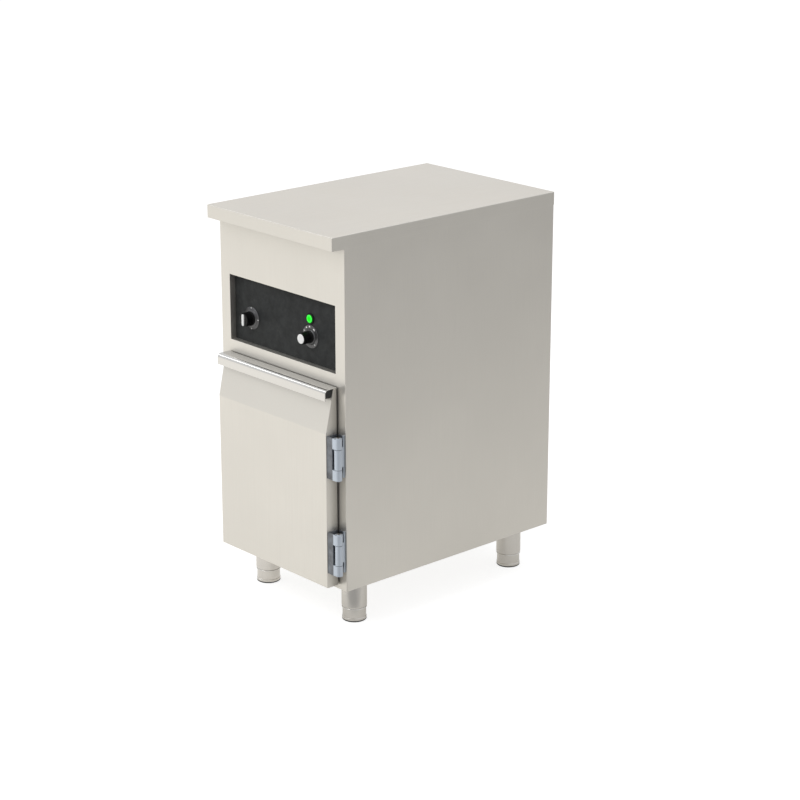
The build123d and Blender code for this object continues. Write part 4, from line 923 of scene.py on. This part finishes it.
def handle_shade_plugs(name):
    """One black plug inside each end of the nose, in front of the door's slanted top, as painted
    shade in the hollow.
    """
    low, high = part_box("door_handle")
    nose = low.y + HANDLE_SHEET + SHADE_PLUG_GAP
    roof = high.z - HANDLE_SHEET - SHADE_PLUG_GAP
    floor = low.z + SHADE_PLUG_LOW
    radius = HANDLE_NOSE_RADIUS - HANDLE_SHEET - SHADE_PLUG_GAP
    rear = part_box("door_front_panel")[1].y - (DOOR_TOP_FACE - DOOR_BACK) * MM - SHADE_PLUG_REAR_GAP
    section = [(nose, floor)]
    for step in range(SHADE_PLUG_ARC_STEPS + 1):
        bend = math.radians(180 - 90 * step / SHADE_PLUG_ARC_STEPS)
        y = nose + radius + radius * math.cos(bend)
        section.append((y, roof - radius + radius * math.sin(bend)))
    section += [(rear, roof), (rear - (roof - floor) * DOOR_SLOPE, floor)]
    points = []
    faces = []
    for side, end in ((-1, low.x + SHADE_PLUG_RECESS), (1, high.x - SHADE_PLUG_RECESS)):
        faces += stack(len(points), 2, len(section))
        for x in (end, end - side * SHADE_PLUG_THICKNESS):
            points += [(x, y, z) for y, z in section]
    add_piece(name, closed_mesh(name, points, faces), "door", "nylon_black", sharp=None)


handle_shade_plugs("handle_end_shade_plugs")


# Studio floor: pale and plain, and white for the camera. In the metal it looks full bright on
# the left, dimmer towards the right and in a band to the front right, as beside a dark room.

WHITE = (1.0, 1.0, 1.0)
FLOOR_HALF = 40.0
FLOOR_DROP = 0.4 * MM
FLOOR_GREY = (0.42, 0.42, 0.42)
FLOOR_WHITE = 0.80
FLOOR_LIT = 0.38
MIRROR_TINT = (1.0, 0.97, 0.905)
# (x, brightness of the floor in mirrors), less FLOOR_LIT, which the lamps give
MIRROR_LEVELS = ((-1.7, 1.09), (-0.8, 1.03), (-0.05, 1.02), (0.12, 0.84), (0.40, 0.80),
                 (1.2, 0.69), (2.4, 0.54))
DARK_START = Vector((0.17, -0.27, 0.0))
DARK_OUT = Vector((0.742, -0.670, 0.0))
DARK_WIDTH = (0.06, 0.32)
DARK_BEGIN = (0.0, 0.07)
DARK_DEPTH = 0.44


def mirrored_level(tree):
    """How much the floor glows by itself in mirrors."""
    left = MIRROR_LEVELS[0][0]
    right = MIRROR_LEVELS[-1][0]
    ramp = tree.add("ValToRGB", {"Fac": tree.spread(tree.axis("X"), 0.0, 1.0, left, right)})
    stops = ramp.color_ramp.elements
    for x, _ in MIRROR_LEVELS[1:-1]:
        stops.new((x - left) / (right - left))
    for stop, (_, level) in zip(stops, MIRROR_LEVELS):
        stop.color = (level, level, level, 1.0)
    side = Vector((-DARK_OUT.y, DARK_OUT.x, 0.0))
    away = tree.math("ABSOLUTE", tree.along(side, DARK_START))
    band = tree.spread(away, 1.0, 0.0, *DARK_WIDTH)
    begun = tree.spread(tree.along(DARK_OUT, DARK_START), 0.0, DARK_DEPTH, *DARK_BEGIN)
    dim = tree.math("SUBTRACT", 1.0, tree.math("MULTIPLY", band, begun))
    level = tree.math("MULTIPLY", ramp.outputs["Color"], dim)
    return tree.math("MAXIMUM", tree.math("SUBTRACT", level, FLOOR_LIT), 0.0)


def studio_floor(name):
    """White for the camera, with the object's shadow, and a plain pale floor for the rest."""
    half = FLOOR_HALF
    corners = [(-half, -half, 0), (half, -half, 0), (half, half, 0), (-half, half, 0)]
    floor = placed(name, closed_mesh(name, corners, [(0, 1, 2, 3)]))
    floor.location.z = -FLOOR_DROP
    tree = Surface(name)
    path = tree.add("LightPath").outputs
    mirrors = tree.math("MAXIMUM", path["Is Glossy Ray"], path["Is Transmission Ray"])
    seen = tree.math("MULTIPLY", path["Is Camera Ray"], FLOOR_WHITE)
    glow = tree.math("ADD", seen, tree.math("MULTIPLY", mirrors, mirrored_level(tree)))
    tree.paint(base_color=FLOOR_GREY, roughness=1.0, specular_ior_level=0.0,
               emission_color=tree.mix(path["Is Camera Ray"], MIRROR_TINT, WHITE),
               emission_strength=glow)
    floor.data.materials.append(tree.material)


# Studio light and camera

SKY_SOFT = 0.62
SKY_MIRRORED = 0.86
SKY_TINT = (0.985, 1.0, 1.02)
CAMERA_PLACE = Vector((3.4407, -3.0527, 1.8876))
CAMERA_TARGET = Vector((0.03723, 0.015, 0.40893))
CAMERA_LENS = 100.5
CAMERA_SENSOR = 36.0
CAMERA_RANGE = (0.05, 100.0)


def studio_world(name):
    """White for the camera, a little dimmer in mirrors, and a soft sky for the rest."""
    world = bpy.data.worlds.new(name)
    bpy.context.scene.world = world
    tree = Tree(world)
    path = tree.add("LightPath").outputs
    mirrors = tree.math("MAXIMUM", path["Is Glossy Ray"], path["Is Transmission Ray"])
    soft = tree.math("MULTIPLY_ADD", mirrors, SKY_MIRRORED - SKY_SOFT, SKY_SOFT)
    sky = tree.nodes["Background"]
    tree.feed(sky.inputs["Color"], tree.mix(mirrors, WHITE, SKY_TINT))
    tree.feed(sky.inputs["Strength"], tree.math("MAXIMUM", soft, path["Is Camera Ray"]))


def aimed(made, place, target):
    """Puts a lamp or camera at the place and points it at the target."""
    made.location = place
    made.rotation_euler = (target - place).to_track_quat("-Z", "Y").to_euler()


def soft_lamp(name, place, target, width, height, power):
    """A rectangular lamp; sizes in metres and power in watts."""
    lamp = bpy.data.lights.new(name, "AREA")
    lamp.shape = "RECTANGLE"
    lamp.size = width
    lamp.size_y = height
    lamp.energy = power
    aimed(placed(name, lamp), Vector(place), Vector(target))


def studio_camera(name):
    """The photograph's camera, found from the straight edges of the body."""
    data = bpy.data.cameras.new(name)
    data.sensor_fit = "HORIZONTAL"
    data.sensor_width = CAMERA_SENSOR
    data.lens = CAMERA_LENS
    data.clip_start, data.clip_end = CAMERA_RANGE
    camera = placed(name, data)
    aimed(camera, CAMERA_PLACE, CAMERA_TARGET)
    bpy.context.scene.camera = camera


studio_floor("studio_floor")
studio_world("studio_world")
soft_lamp("key_lamp", (-0.6, -3.2, 3.9), (0.0, -0.1, 0.45), width=2.4, height=2.4, power=80.0)
soft_lamp("side_lamp", (-2.8, -1.9, 2.6), (0.0, -0.3, 0.5), width=1.3, height=0.2, power=3.4)
soft_lamp("top_lamp", (-0.3, 0.2, 3.4), (0.0, 0.0, 0.4), width=3.0, height=3.0, power=20.0)
studio_camera("camera")
bpy.context.scene.view_settings.view_transform = "Standard"
